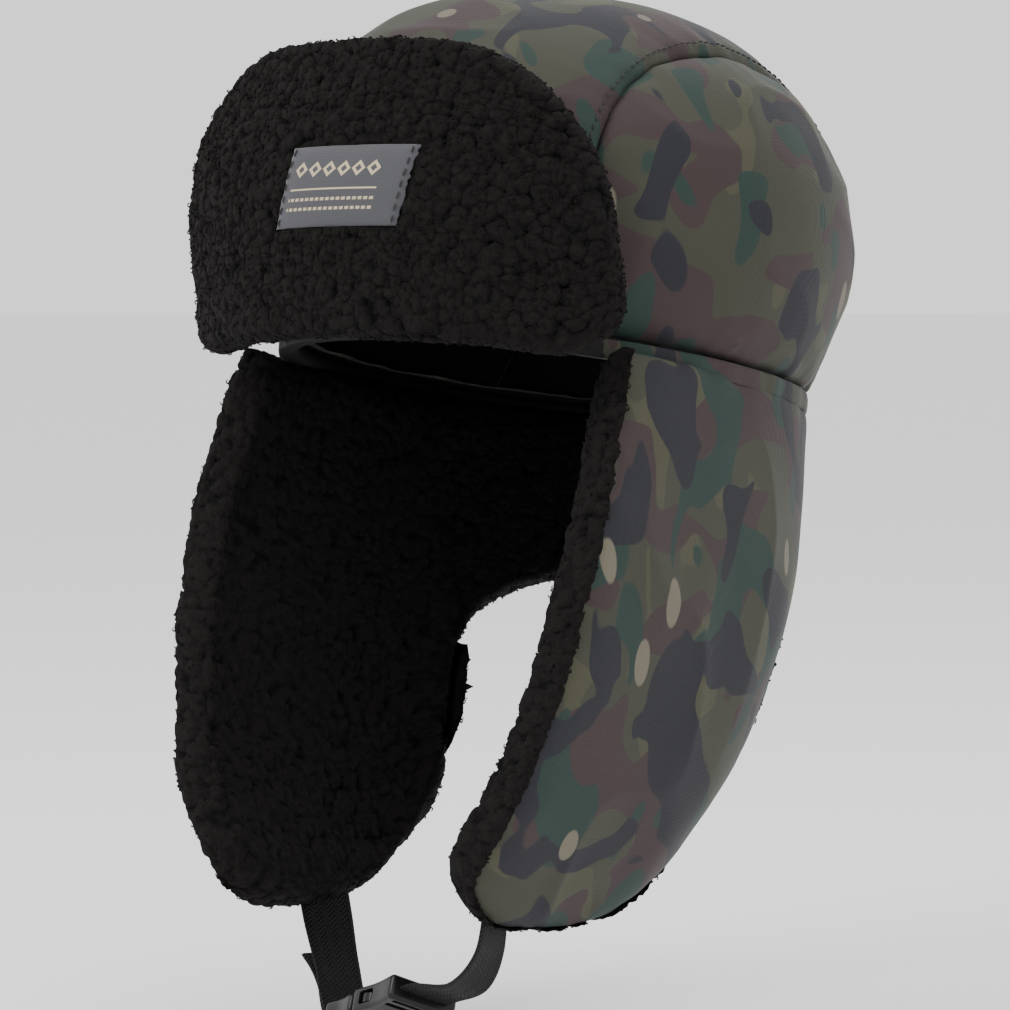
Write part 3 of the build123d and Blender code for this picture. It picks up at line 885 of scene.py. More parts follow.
@dataclass
class Crown:
    """Padded dome of four panels on a band, quilted only along its seams."""

    depth_ratio: float = 1.10
    half_width: float = 92.0
    bulge_half_width: float = 103.5
    bulge_height: float = 50.0
    height: float = 137.0
    power: float = 2.25
    seam_x: float = 73.0
    rear_height: float = 117.0
    rear_fall: float = 0.18
    band_top: float = 3.0
    rings: int = 112
    spokes: int = 400
    lining_inset: float = 6.5
    # front limit past which the band's outer face takes the dark lining as painted shade under the visor
    brow: float = -62.0

    def dome(self, turn: Array, climb: Array, inset: float = 0.0) -> Array:
        """Points on the dome.

        Args:
            turn: angle round the crown.
            climb: 0 at the band, 1 at the top.
            inset: distance inside the outer face.
        Returns:
            (n, 3) points in the band's frame.
        """
        split = 0.3
        low = np.clip(climb / split, 0, 1)
        high = np.clip((climb - split) / (1 - split), 0, 1) * math.pi / 2
        rise = np.sin(high) ** (2 / self.power)
        height = np.where(climb < split, self.band_top + (self.bulge_height - self.band_top) * low,
                          self.bulge_height + (self.height - self.bulge_height) * rise)
        swell = np.sin(np.clip(height / self.bulge_height, 0, 1) * math.pi / 2)
        lower = self.half_width + (self.bulge_half_width - self.half_width) * swell
        radius = np.where(climb < split, lower, self.bulge_half_width * np.abs(np.cos(high)) ** (2 / self.power))
        points = np.stack([radius * np.cos(turn), radius * self.depth_ratio * np.sin(turn), height], 1)
        if inset:
            out = points / np.array([1, self.depth_ratio, 1]) - np.array([0, 0, 30.0])
            out /= np.linalg.norm(out, axis=1)[:, None]
            points = points - out * inset * np.array([1, self.depth_ratio, 1])
        return points

    def shell(self, name: str, inset: float) -> bpy.types.Object:
        """Whole dome as one mesh, in the band's frame."""
        clear_selection()
        bpy.ops.mesh.primitive_uv_sphere_add(segments=self.spokes, ring_count=2 * self.rings, radius=1)
        dome = bpy.context.object
        dome.name = name
        bpy.ops.object.mode_set(mode="EDIT")
        bpy.ops.mesh.select_all(action="SELECT")
        bpy.ops.mesh.bisect(plane_co=(0, 0, 0), plane_no=(0, 0, 1), clear_inner=True)
        bpy.ops.object.mode_set(mode="OBJECT")
        unit = points_of(dome) * MM
        climb = np.arcsin(np.clip(unit[:, 2], 0, 1)) / (math.pi / 2)
        move_points(dome, self.dome(np.arctan2(unit[:, 1], unit[:, 0]), climb, inset))
        return dome

    def cut_seams(self, dome: bpy.types.Object) -> None:
        """Put edges along each seam, and a few each side of it."""
        pick(dome)
        bpy.ops.object.mode_set(mode="EDIT")
        for gap in (0.0, -0.8, 0.8, -2.0, 2.0):
            for side in (-1, 1):
                bpy.ops.mesh.select_all(action="SELECT")
                bpy.ops.mesh.bisect(plane_co=((side * (self.seam_x + gap)) * MM, 0, 0), plane_no=(1, 0, 0))
            bpy.ops.mesh.select_all(action="SELECT")
            bpy.ops.mesh.bisect(plane_co=(0, 0, (self.rear_height + gap) * MM), plane_no=(0, self.rear_fall, 1))
        bpy.ops.object.mode_set(mode="OBJECT")

    def panel_of(self, centres: Array) -> Array:
        """Number of the panel that each face belongs to: top, back, left or right."""
        x, y, z = centres.T
        back = (z + self.rear_fall * y < self.rear_height) & (y > 15)
        panel = np.where(back, 1, 0)
        panel = np.where(x > self.seam_x, 2, panel)
        return np.where(x < -self.seam_x, 3, panel)

    def seam_distance(self, points: Array, normals: Array, panel: int) -> Array:
        """Distance on the cloth from each point to the nearest seam of its panel."""
        x, y, z = points.T
        slope = np.sqrt(np.clip(1 - normals[:, 0] ** 2, 0.04, 1))
        side = np.abs(np.abs(x) - self.seam_x) / slope
        square = math.hypot(1, self.rear_fall)
        facing = (normals[:, 2] + self.rear_fall * normals[:, 1]) / square
        rear = np.abs(z + self.rear_fall * y - self.rear_height) / square
        rear = rear / np.sqrt(np.clip(1 - facing ** 2, 0.04, 1))
        rear = np.where((y > 5) & (panel < 2), rear, 99.0)
        band = z - self.band_top
        return np.minimum(np.minimum(side, rear), band)

    def puff(self, points: Array, normals: Array, panel: int) -> Array:
        """Fill a panel out between its seams, with the gathers that the stitching pulls in."""
        away = self.seam_distance(points, normals, panel)
        fill = 2.8 * (1 - np.exp(-away / 11)) - 2.2 * np.exp(-away / 1.5) - 2.9
        along = points * np.array([0.25, 1.0, 1.0]) if panel == 0 else points * np.array([0.5, 0.9, 0.6])
        gather = (soft_noise(along, 9.0, 5 + panel) + 0.6 * soft_noise(along, 5.0, 6 + panel)) * np.exp(-away / 9) * 1.4
        crease = soft_noise(points * np.array([1.0, 0.6, 1.2]), 22.0, 15 + panel) * 1.5
        ridge = (1 - np.abs(soft_noise(points * np.array([0.7, 0.7, 1.3]), 30.0, 25 + panel))) ** 3
        swell = soft_noise(points, 46.0, 35 + panel)
        settled = 1 - np.exp(-away / 10)
        move = fill + gather + (0.7 * crease + 1.3 * ridge + 1.1 * swell - 0.4) * settled
        return points + normals * move[:, None]

    def build_panels(self) -> list[bpy.types.Object]:
        """Make the four outer panels."""
        names = ["crown_top_panel", "crown_back_panel", "crown_side_panel_left", "crown_side_panel_right"]
        whole = self.shell("crown_pattern", 0.0)
        self.cut_seams(whole)
        centres = np.empty(len(whole.data.polygons) * 3, np.float32)
        whole.data.polygons.foreach_get("center", centres)
        panel_of_face = self.panel_of(centres.reshape(-1, 3).astype(float) / MM)
        panels = []
        for number, name in enumerate(names):
            clear_selection()
            panel = whole.copy()
            panel.data = whole.data.copy()
            panel.name = name + "_cloth"
            bpy.context.scene.collection.objects.link(panel)
            pick(panel)
            bpy.ops.object.mode_set(mode="EDIT")
            bpy.ops.mesh.select_mode(type="FACE")
            bpy.ops.mesh.select_all(action="DESELECT")
            bpy.ops.object.mode_set(mode="OBJECT")
            panel.data.polygons.foreach_set("select", (panel_of_face != number).tolist())
            bpy.ops.object.mode_set(mode="EDIT")
            bpy.ops.mesh.delete(type="FACE")
            bpy.ops.object.mode_set(mode="OBJECT")
            points, normals = points_of(panel), normals_of(panel)
            shaped = self.puff(points, normals, number)
            move_points(panel, shaped)
            self.turn_in(panel)
            move_points(panel, tipped(points_of(panel)))
            bpy.ops.object.shade_smooth()
            Finish.CAMO.dress(panel)
            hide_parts(*([name, "crown_wadding"] if number == 0 else [name]))
            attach(panel, "root")
            panels.append(panel)
        bpy.data.objects.remove(whole)
        return panels

    @staticmethod
    def turn_in(panel: bpy.types.Object) -> None:
        """Turn the panel's raw edge in, as a seam allowance."""
        pick(panel)
        bpy.ops.object.mode_set(mode="EDIT")
        bpy.ops.mesh.select_mode(type="EDGE")
        bpy.ops.mesh.select_all(action="SELECT")
        bpy.ops.mesh.region_to_loop()
        bpy.ops.mesh.extrude_edges_move()
        bpy.ops.transform.resize(value=(0.955, 0.955, 0.965), center_override=(0, 0, 0.02))
        bpy.ops.object.mode_set(mode="OBJECT")

    def build_lining(self) -> bpy.types.Object:
        """Make the lining, slack inside the wadding."""
        lining = self.shell("crown_lining_cloth", self.lining_inset)
        points, normals = points_of(lining), normals_of(lining)
        slack = soft_noise(points, 30.0, 61) * 1.2 + soft_noise(points, 11.0, 62) * 0.5
        low = eased(points[:, 2], 3, 20)
        points = points - normals * (np.abs(slack) * low)[:, None]
        points[:, 2] = np.where(points[:, 2] < 8, points[:, 2] - 6 * (8 - points[:, 2]) / 5, points[:, 2])
        move_points(lining, tipped(points))
        pick(lining)
        apply_modifier(lining, "DECIMATE", ratio=0.6)
        bpy.ops.object.mode_set(mode="EDIT")
        bpy.ops.mesh.select_all(action="SELECT")
        bpy.ops.mesh.flip_normals()
        bpy.ops.object.mode_set(mode="OBJECT")
        bpy.ops.object.shade_smooth()
        Finish.LINING.dress(lining)
        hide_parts("crown_lining")
        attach(lining, "root")
        return lining

    def build_band(self) -> bpy.types.Object:
        """Make the narrow padded strip between crown and curtain."""
        half, thick = 3.0, self.lining_inset

        def shape(u: Array, v: Array) -> Array:
            turn = u * 2 * math.pi
            angle = v * 2 * math.pi
            height = half * 1.15 * np.sign(np.sin(angle)) * np.abs(np.sin(angle)) ** 0.8
            out = np.cos(angle)
            face = np.where(out > 0, 0.3 + 1.0 * out ** 0.6, 0.0) + np.where(out < 0, -thick * np.abs(out) ** 0.5, 0.0)
            ring = np.stack([np.cos(turn), np.sin(turn), np.zeros(len(turn))], 1)
            place = ring * np.array([self.half_width, self.half_width * self.depth_ratio, 1])
            pucker = soft_noise(place * 1.0, 7.0, 71) * 0.5 * (out > 0)
            points = place + ring * (face + pucker - 0.6)[:, None]
            points[:, 2] = height
            return tipped(points)

        strip = cloth_grid("band_strip_cloth", 720, 24, shape)
        pick(strip)
        bpy.ops.object.mode_set(mode="EDIT")
        bpy.ops.mesh.select_all(action="SELECT")
        bpy.ops.mesh.remove_doubles(threshold=1e-6)
        bpy.ops.mesh.normals_make_consistent(inside=False)
        bpy.ops.object.mode_set(mode="OBJECT")
        Finish.CAMO.dress(strip)
        strip.data.materials.append(Finish.LINING.material())
        centres = np.empty(len(strip.data.polygons) * 3, np.float32)
        strip.data.polygons.foreach_get("center", centres)
        level = centres.reshape(-1, 3).astype(float) / MM
        across = np.hypot(level[:, 0], level[:, 1] / math.cos(BAND_TILT) / self.depth_ratio)
        # inner faces take the lining; the outer face at the front, under the visor, takes the dark lining too as
        # painted shade
        lined_or_painted_shade = (across < self.half_width - 1.6) | (level[:, 1] < self.brow)
        strip.data.polygons.foreach_set("material_index", lined_or_painted_shade.astype(np.int32))
        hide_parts("band_strip")
        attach(strip, "root")
        return strip

    def seam_run(self, seam: str, count: int) -> Array:
        """Points on the dome along one seam."""
        height = np.linspace(6, self.height - 0.01, 4000)
        rise = np.clip((height - self.bulge_height) / (self.height - self.bulge_height), 0, 1)
        swell = np.sin(np.clip(height / self.bulge_height, 0, 1) * math.pi / 2)
        radius = np.where(height < self.bulge_height,
                          self.half_width + (self.bulge_half_width - self.half_width) * swell,
                          self.bulge_half_width * np.clip(1 - rise ** self.power, 0, 1) ** (1 / self.power))
        if seam == "rear":
            x = np.linspace(-self.seam_x + 4, self.seam_x - 4, count)
            found = []
            for value in x:
                y = np.sqrt(np.clip(radius ** 2 - value ** 2, 0, None)) * self.depth_ratio
                miss = np.where(radius > abs(value), np.abs(height + self.rear_fall * y - self.rear_height), 1e9)
                k = int(miss.argmin())
                found.append([value, y[k], height[k]])
            return np.array(found)
        keep = radius > self.seam_x + 0.01
        across = np.sqrt(radius[keep] ** 2 - self.seam_x ** 2) * self.depth_ratio
        half_run = np.stack([np.full(keep.sum(), self.seam_x), across, height[keep]], 1)
        front = half_run * np.array([1, -1, 1])
        run = np.vstack([half_run, front[::-1]])
        if seam == "right":
            run = run * np.array([-1, 1, 1])
        return smooth_even(run, count)


def smooth_even(run: Array, count: int) -> Array:
    """Even points along a dense run."""
    along = np.r_[0, np.cumsum(np.sqrt((np.diff(run, axis=0) ** 2).sum(1)))]
    even = np.linspace(0, along[-1], count)
    return np.stack([np.interp(even, along, run[:, k]) for k in range(3)], 1)


# ---------------------------------------------------------------- curtain

class Side(Enum):
    """The wearer's left and right."""

    LEFT = 1
    RIGHT = -1

    @property
    def word(self) -> str:
        """The side's name in lower case."""
        return self.name.lower()


@dataclass
class CurtainSurface(Surface):
    """Half of the curtain's camo face, from temple to centre back.

    Sections are height, half width, centre, front radius, back radius and back roundness.
    """

    side: Side
    sections: tuple = (
        (0.0, 92.0, 0.0, 119.0, 102.0, 2.0), (-34.0, 94.0, 0.0, 150.0, 101.0, 2.0),
        (-65.0, 94.0, 0.0, 190.0, 99.0, 2.05), (-104.0, 90.5, -6.0, 190.0, 93.0, 2.2),
        (-125.0, 87.0, -14.0, 165.0, 90.0, 2.4), (-160.0, 77.0, -28.0, 133.0, 74.0, 2.8),
        (-185.0, 64.0, -32.0, 95.0, 70.0, 3.0), (-212.0, 49.0, -34.0, 75.0, 62.0, 3.0),
    )
    edge: tuple = (
        (-65.6, -1), (-73, -35), (-78, -65), (-83, -104), (-86, -140), (-88, -166), (-85, -187), (-71, -197),
        (-42, -198), (-10, -191), (18, -173), (38, -150), (46, -125), (52, -98), (64, -78), (84, -64), (98.6, -59),
    )
    front_roundness: float = 3.0
    corner: tuple[float, float] = (-79.0, -193.5)
    fan: tuple = (
        (-79.0, -193.5, 0.0), (-42.0, -198.0, 0.085), (-10.0, -191.0, 0.165), (18.0, -173.0, 0.23),
        (38.0, -150.0, 0.275), (46.0, -125.0, 0.325), (52.0, -98.0, 0.395), (64.0, -78.0, 0.49),
        (84.0, -64.0, 0.67), (98.6, -59.0, 1.0),
    )
    top: float = -1.0

    def __post_init__(self) -> None:
        table = np.array(self.sections)
        self.table = table[::-1]
        line = smooth_line([tuple(map(float, p)) for p in self.edge], 900)
        cut = int(((line - np.array(self.corner)) ** 2).sum(1).argmin())
        turned = np.stack([self.angle_at(line[:, 0], line[:, 1]), line[:, 1]], 1)
        turned[-1, 0] = math.pi
        self.front = turned[:cut + 1]
        fan = np.array(self.fan)
        marks = [int(((line - spot) ** 2).sum(1).argmin()) for spot in fan[:, :2]]
        marks[0], marks[-1] = cut, len(line) - 1
        shares = np.linspace(0, 1, 900)
        at = hermite(fan[:, 2], np.array(marks, float), shares)
        self.bottom = np.stack([np.interp(at, np.arange(len(line)), turned[:, k]) for k in range(2)], 1)
        count = 300
        self.upper = np.stack([np.linspace(turned[0, 0], math.pi, count), np.full(count, self.top)], 1)
        self.back = np.stack([np.full(count, math.pi), np.linspace(self.top, turned[-1, 1], count)], 1)

    def rows(self, height: Array) -> Array:
        """Section values at each height."""
        return np.stack([hermite(self.table[:, 0], self.table[:, k], np.clip(height, -212, 0))
                         for k in range(1, 6)], 1)

    def angle_at(self, y: Array, z: Array) -> Array:
        """Angle round a section for a point in side view."""
        _, centre, front, back, _ = self.rows(z).T
        ahead = np.where(y < centre, (centre - y) / front, (centre - y) / back)
        return np.arccos(np.clip(ahead, -1, 1))

    def place(self, u: Array, v: Array) -> Array:
        """Points for the coordinates, in the band's frame."""
        spot = four_sided(self.upper, self.bottom, self.front, self.back, u, v)
        angle, z = spot.T
        half, centre, front, back, roundness = self.rows(z).T
        ahead = np.cos(angle)
        reach = np.where(ahead > 0, front, back)
        power = np.where(ahead > 0, self.front_roundness, roundness)
        x = half * np.clip(1 - np.abs(ahead) ** power, 0, 1) ** (1 / power)
        return np.stack([x * self.side.value, centre - ahead * reach, z], 1)

    def outward(self, points: Array) -> Array:
        """Away from the head."""
        return points * np.array([1.0, 0.7, 0.0])

    def normals(self, u: Array, v: Array) -> Array:
        """Unit normals, square to the centre back line there."""
        normal = super().normals(u, v)
        near = eased(u, 0.96, 0.998)
        normal[:, 0] *= 1 - near
        return normal / np.linalg.norm(normal, axis=1)[:, None]

    def crowd(self, u: Array, v: Array) -> tuple[Array, Array]:
        """Crowd even coordinates towards the front and bottom edges."""
        return gathered(u, (0.07, 0.011), (0.0, 0.0)), gathered(v, (0.0, 0.0), (0.13, 0.022))

    def share(self, u: Array, v: Array) -> Array:
        """Padding is thin where it runs into the band."""
        spot = four_sided(self.upper, self.bottom, self.front, self.back, u, v)
        part = np.clip((self.top - spot[:, 1]) / 14, 0, 1)
        return 0.4 + 0.6 * np.sqrt(1 - (1 - part) ** 2)


@dataclass
class Curtain:
    """Ear flap and half the nape: one padded sweep of cloth over sherpa."""

    side: Side
    surface: CurtainSurface = field(init=False)
    depth: float = 15.0
    bulge: float = 1.6
    cloth_grid: tuple[int, int] = (330, 190)
    pile_grid: tuple[int, int] = (400, 214)
    bend_start: float = 78.0
    bend_end: float = 36.0

    def __post_init__(self) -> None:
        self.surface = CurtainSurface(self.side)
        count = 700
        run = np.linspace(0, 1, count)
        u = np.r_[np.zeros(count), run]
        v = np.r_[run, np.ones(count)]
        self.roll = self.surface.roll(u, v, depth=self.depth, bulge=self.bulge)

    def bend(self, piece: bpy.types.Object) -> None:
        """Bake a piece's placement into its mesh."""
        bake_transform(piece)

    def build_cloth(self) -> bpy.types.Object:
        """Make the camo face."""
        word = self.side.word

        def shape(u: Array, v: Array) -> Array:
            base, normals, _ = self.surface.at(u, v)
            away, nearest = distance_to_line(base, self.roll.line)
            band = self.surface.top - base[:, 2]
            fill = 1.6 * (1 - np.exp(-away / 9)) - 0.7 * np.exp(-away / 1.8)
            fill += 1.2 * (1 - np.exp(-band / 12)) - 2.4 * np.exp(-band / 1.6) - 1.6
            pull = soft_noise(base * np.array([0.4, 1.0, 1.0]), 9.0, 81) * np.exp(-np.minimum(away, band) / 7) * 0.9
            ridge = (1 - np.abs(soft_noise(base * np.array([0.6, 1.1, 0.6]), 34.0, 82))) ** 3
            swell = soft_noise(base, 44.0, 83) * 1.3 + soft_noise(base, 18.0, 84) * 0.45
            settled = 1 - np.exp(-np.minimum(away, band) / 12)
            move = fill + pull + (swell + 1.2 * ridge - 0.3) * settled
            return tipped(base + normals * move[:, None])

        cloth = cloth_grid(f"curtain_cloth_{word}", *self.cloth_grid, shape)
        face_outwards(cloth, lambda points: points @ np.diag([1.0, 0.7, 0.0]))
        Finish.CAMO.dress(cloth)
        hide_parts(f"ear_flap_{word}_shell", f"ear_flap_{word}_wadding", "neck_flap_shell",
                    "neck_flap_wadding")
        self.bend(cloth)
        return cloth

    def build_pile(self) -> bpy.types.Object:
        """Make the sherpa lining with its rolled edge."""
        word = self.side.word
        fleece = Fleece(seed=101)
        pile = fleece_piece(f"curtain_sherpa_{word}", self.pile_grid, self.surface, self.roll, fleece)
        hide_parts(f"ear_flap_{word}_sherpa", "neck_flap_sherpa")
        self.bend(pile)
        return pile


# ---------------------------------------------------------------- visor

@dataclass
class VisorSurface(Surface):
    """Back face of the turned-up visor, the side that lies against the crown."""

    sections: tuple = (
        (-10.0, 116.0, 124.0), (20.0, 128.0, 128.5), (50.0, 136.0, 132.5), (80.0, 134.0, 129.0),
        (115.0, 124.0, 117.0),
    )
    half_width: float = 80.5
    bottom: float = 1.0
    top: float = 87.5
    top_radius: float = 54.0
    bottom_radius: float = 16.0
    inset: float = 16.0

    def __post_init__(self) -> None:
        self.table = np.array(self.sections)
        outline = self.outline()
        marks = []
        w, r, b = self.half_width, self.top_radius, self.bottom_radius
        near = [(-w + 0.29 * b, self.bottom + 0.29 * b), (w - 0.29 * b, self.bottom + 0.29 * b),
                (w - 0.29 * r, self.top - 0.29 * r), (-w + 0.29 * r, self.top - 0.29 * r)]
        for spot in near:
            marks.append(int(((outline - np.array(spot)) ** 2).sum(1).argmin()))
        turned = np.roll(outline, -marks[0], axis=0)
        cuts = [(m - marks[0]) % len(outline) for m in marks] + [len(outline)]
        ring = np.vstack([turned, turned[:1]])
        sides = [ring[cuts[k]:cuts[k + 1] + 1] for k in range(4)]
        self.low, self.right = sides[0], sides[1]
        self.high, self.left = sides[2][::-1], sides[3][::-1]
        self.ring = ring

    def outline(self) -> Array:
        """Rounded outline in front view, anticlockwise from the bottom left."""
        w, low, high = self.half_width, self.bottom, self.top
        arcs = [(-w + self.bottom_radius, low + self.bottom_radius, self.bottom_radius, 180),
                (w - self.bottom_radius, low + self.bottom_radius, self.bottom_radius, 270),
                (w - self.top_radius, high - self.top_radius, self.top_radius, 0),
                (-w + self.top_radius, high - self.top_radius, self.top_radius, 90)]
        points = []
        for x, z, radius, start in arcs:
            for step in range(41):
                angle = math.radians(start + step * 90 / 40)
                points.append((x + radius * math.cos(angle), z + radius * math.sin(angle)))
        closed = np.array(points + points[:1])
        along = np.r_[0, np.cumsum(np.sqrt((np.diff(closed, axis=0) ** 2).sum(1)))]
        even = np.linspace(0, along[-1], 2001)[:-1]
        return np.stack([np.interp(even, along, closed[:, k]) for k in range(2)], 1)

    def stand(self, x: Array, z: Array, inset: float) -> Array:
        """Points on the visor's curve, inset from its sherpa face, for a front view place."""
        half = hermite(self.table[:, 0], self.table[:, 1], z) - inset
        depth = hermite(self.table[:, 0], self.table[:, 2], z) - inset
        ahead = depth * np.sqrt(np.clip(1 - (x / half) ** 2, 0.01, 1))
        return np.stack([x, -ahead, z], 1)

    def place(self, u: Array, v: Array) -> Array:
        """Points for the coordinates, in the band's frame."""
        spot = four_sided(self.low, self.high, self.left, self.right, u, v)
        return self.stand(spot[:, 0], spot[:, 1], self.inset)

    def crowd(self, u: Array, v: Array) -> tuple[Array, Array]:
        """Crowd even coordinates towards the whole outline."""
        side, end = (0.085, 0.017), (0.13, 0.034)
        return gathered(u, side, side), gathered(v, end, end)

    def outward(self, points: Array) -> Array:
        """Towards the crown."""
        return -points * np.array([1.0, 1.0, 0.0])


@dataclass
class Visor:
    """Turned-up visor: sherpa face, foam stiffener inside, camo back, woven label."""

    depth: float = 16.0
    bulge: float = 5.0
    pile_grid: tuple[int, int] = (330, 230)
    cloth_grid: tuple[int, int] = (150, 90)
    label_width: float = 51.0
    label_height: float = 27.5
    label_x: float = 7.0
    label_z: float = 43.5
    label_rise: float = 2.3
    label_shear: float = 0.26
    label_climb: float = 0.02
    stitches: int = 7

    def __post_init__(self) -> None:
        self.surface = VisorSurface()
        ring = self.surface.ring
        line = self.surface.stand(ring[:, 0], ring[:, 1], self.surface.inset)
        along = np.gradient(line, axis=0)
        along /= np.linalg.norm(along, axis=1)[:, None]
        facing = -line * np.array([1.0, 1.0, 0.0])
        facing /= np.linalg.norm(facing, axis=1)[:, None]
        outwards = np.cross(along, facing)
        middle = np.array([0, -120.0, 42.0])
        if ((line - middle) * outwards).sum() < 0:
            outwards = -outwards
        outwards /= np.linalg.norm(outwards, axis=1)[:, None]
        self.roll = Roll(line, outwards, depth=self.depth, bulge=self.bulge)

    def under_label(self, points: Array) -> Array:
        """Share of the pile left standing, low where the label presses it."""
        up = points[:, 2] - self.label_z
        x = np.abs(points[:, 0] - self.label_x - up * self.label_shear) - self.label_width / 2
        z = np.abs(up) - self.label_height / 2
        outside = np.maximum(x, z)
        front = points[:, 1] < -100
        return np.where(front, 0.15 + 0.85 * eased(outside, -1.5, 3.0), 1.0)

    def build_pile(self) -> bpy.types.Object:
        """Make the sherpa face with its rolled edges."""
        fleece = Fleece(seed=202, curls=5200)
        pile = fleece_piece("visor_sherpa_face", self.pile_grid, self.surface, self.roll, fleece, self.under_label)
        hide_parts("visor_sherpa", "visor_board")
        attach(pile, "visor")
        return pile

    def build_back(self) -> bpy.types.Object:
        """Make the camo back."""
        def shape(u: Array, v: Array) -> Array:
            base, normals, _ = self.surface.at(u, v)
            away, _ = distance_to_line(base, self.roll.line)
            move = 0.5 * (1 - np.exp(-away / 8)) - 0.9 * np.exp(-away / 2) + soft_noise(base, 20.0, 91) * 0.3
            return tipped(base + normals * move[:, None])

        back = cloth_grid("visor_back_cloth", *self.cloth_grid, shape)
        face_outwards(back, lambda points: -points * np.array([1.0, 1.0, 0.0]))
        Finish.CAMO.dress(back)
        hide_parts("visor_shell")
        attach(back, "visor")
        return back

    def label_place(self, across: Array, up: Array, rise: Array) -> Array:
        """Points on the label for places measured on it, lifted off the visor by rise."""
        x, z = self.label_x + across + up * self.label_shear, self.label_z + up + across * self.label_climb
        base = self.surface.stand(x, z, 0.0)
        out = base * np.array([1.0, 1.0, 0.0])
        out /= np.linalg.norm(out, axis=1)[:, None]
        return base + out * rise[:, None]

    def build_label(self) -> bpy.types.Object:
        """Make the woven label, its short edges folded and fraying."""
        half_w, half_h = self.label_width / 2, self.label_height / 2

        def shape(u: Array, v: Array) -> Array:
            across, up = (u * 2 - 1) * half_w, (v * 2 - 1) * half_h
            ripple = soft_noise(np.stack([across, up, up * 0], 1), 9.0, 93)
            fray = soft_noise(np.stack([up, across * 0, up * 0], 1), 1.3, 94) * eased(np.abs(across), half_w - 2, half_w)
            across = across + np.sign(across) * fray * 0.4
            edge = np.minimum(half_w - np.abs(across), (half_h - np.abs(up)) * 1.5)
            rise = self.label_rise + 0.35 * ripple - 0.9 * np.exp(-np.clip(edge, 0, None) / 1.6)
            return tipped(self.label_place(across, up, rise))

        label = cloth_grid("label_cloth", 130, 70, shape)
        face_outwards(label, lambda points: points * np.array([1.0, 1.0, 0.0]))
        uv = label.data.uv_layers.active or label.data.uv_layers.new(name="UVMap")
        uv.name = "UVMap"
        flat = np.empty(len(uv.data) * 2, np.float32)
        uv.data.foreach_get("uv", flat)
        flat = (flat.reshape(-1, 2) * 2 - 1) * np.array([half_w, half_h])
        uv.data.foreach_set("uv", flat.astype(np.float32).ravel())
        apply_modifier(label, "SOLIDIFY", thickness=0.5 * MM, offset=-1)
        Finish.LABEL.dress(label)
        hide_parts("visor_label")
        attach(label, "visor")
        return label

    def build_stitches(self) -> bpy.types.Object:
        """Make the thread that holds the label's short edges."""
        random = np.random.default_rng(9)
        pitch = self.label_height / self.stitches
        spots, ways = [], []
        for side in (-1, 1):
            for row in range(self.stitches):
                up = (row - (self.stitches - 1) / 2) * pitch
                across = side * (self.label_width / 2 - 1.8)
                pair = self.label_place(np.full(2, across) + random.normal(0, 0.12, 2),
                                        np.array([up - 1.2, up + 1.2]), np.full(2, self.label_rise + 0.1))
                spots.append(pair)
        return sew("label_stitches", np.array(spots), 0.28, Finish.SEAM_THREAD, "visor", "visor_label_stitches")


def sew(name: str, ends: Array, radius: float, finish: Finish, body: str,
        node: Optional[str] = None) -> bpy.types.Object:
    """Make a run of thread stitches.

    Args:
        name: the piece's name.
        ends: (n, 2, 3) ends of each stitch, in the band's frame.
        radius: of the thread.
        finish: of the thread.
        body: that it rides on.
        node: CAD node that it replaces.
    Returns:
        One object that holds every stitch.
    """
    rings, sides = 5, 6
    start, end = ends[:, 0], ends[:, 1]
    along = end - start
    length = np.linalg.norm(along, axis=1)[:, None]
    along = along / length
    out = (start + end) / 2 * np.array([1, 1, 0.0]) + np.array([0, 0, 1e-3])
    out -= along * (out * along).sum(1)[:, None]
    out /= np.linalg.norm(out, axis=1)[:, None]
    across = np.cross(along, out)
    profile = [(-0.02, 0.15, -0.5), (0.12, 0.9, 0.1), (0.5, 1.0, 0.5), (0.88, 0.9, 0.1), (1.02, 0.15, -0.5)]
    corners = []
    for part, thick, lift in profile:
        centre = start + along * length * part + out * radius * lift
        for k in range(sides):
            turn = 2 * math.pi * k / sides
            corners.append(centre + radius * thick * (out * math.cos(turn) + across * math.sin(turn)))
    points = np.stack(corners, 1).reshape(-1, 3)
    faces = [[r * sides + k, r * sides + (k + 1) % sides, (r + 1) * sides + (k + 1) % sides, (r + 1) * sides + k]
             for r in range(rings - 1) for k in range(sides)]
    count = np.arange(len(ends))[:, None, None] * rings * sides
    quads = (np.array(faces)[None] + count).reshape(-1, 4)
    mesh = bpy.data.meshes.new(name)
    mesh.from_pydata((tipped(points) * MM).tolist(), [], quads.tolist())
    mesh.update()
    thread = bpy.data.objects.new(name, mesh)
    bpy.context.scene.collection.objects.link(thread)
    pick(thread)
    bpy.ops.object.shade_smooth()
    bpy.ops.object.mode_set(mode="EDIT")
    bpy.ops.mesh.select_all(action="SELECT")
    bpy.ops.mesh.normals_make_consistent(inside=False)
    bpy.ops.object.mode_set(mode="OBJECT")
    finish.dress(thread)
    if node:
        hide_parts(node)
    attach(thread, body)
    return thread


# ---------------------------------------------------------------- chin strap

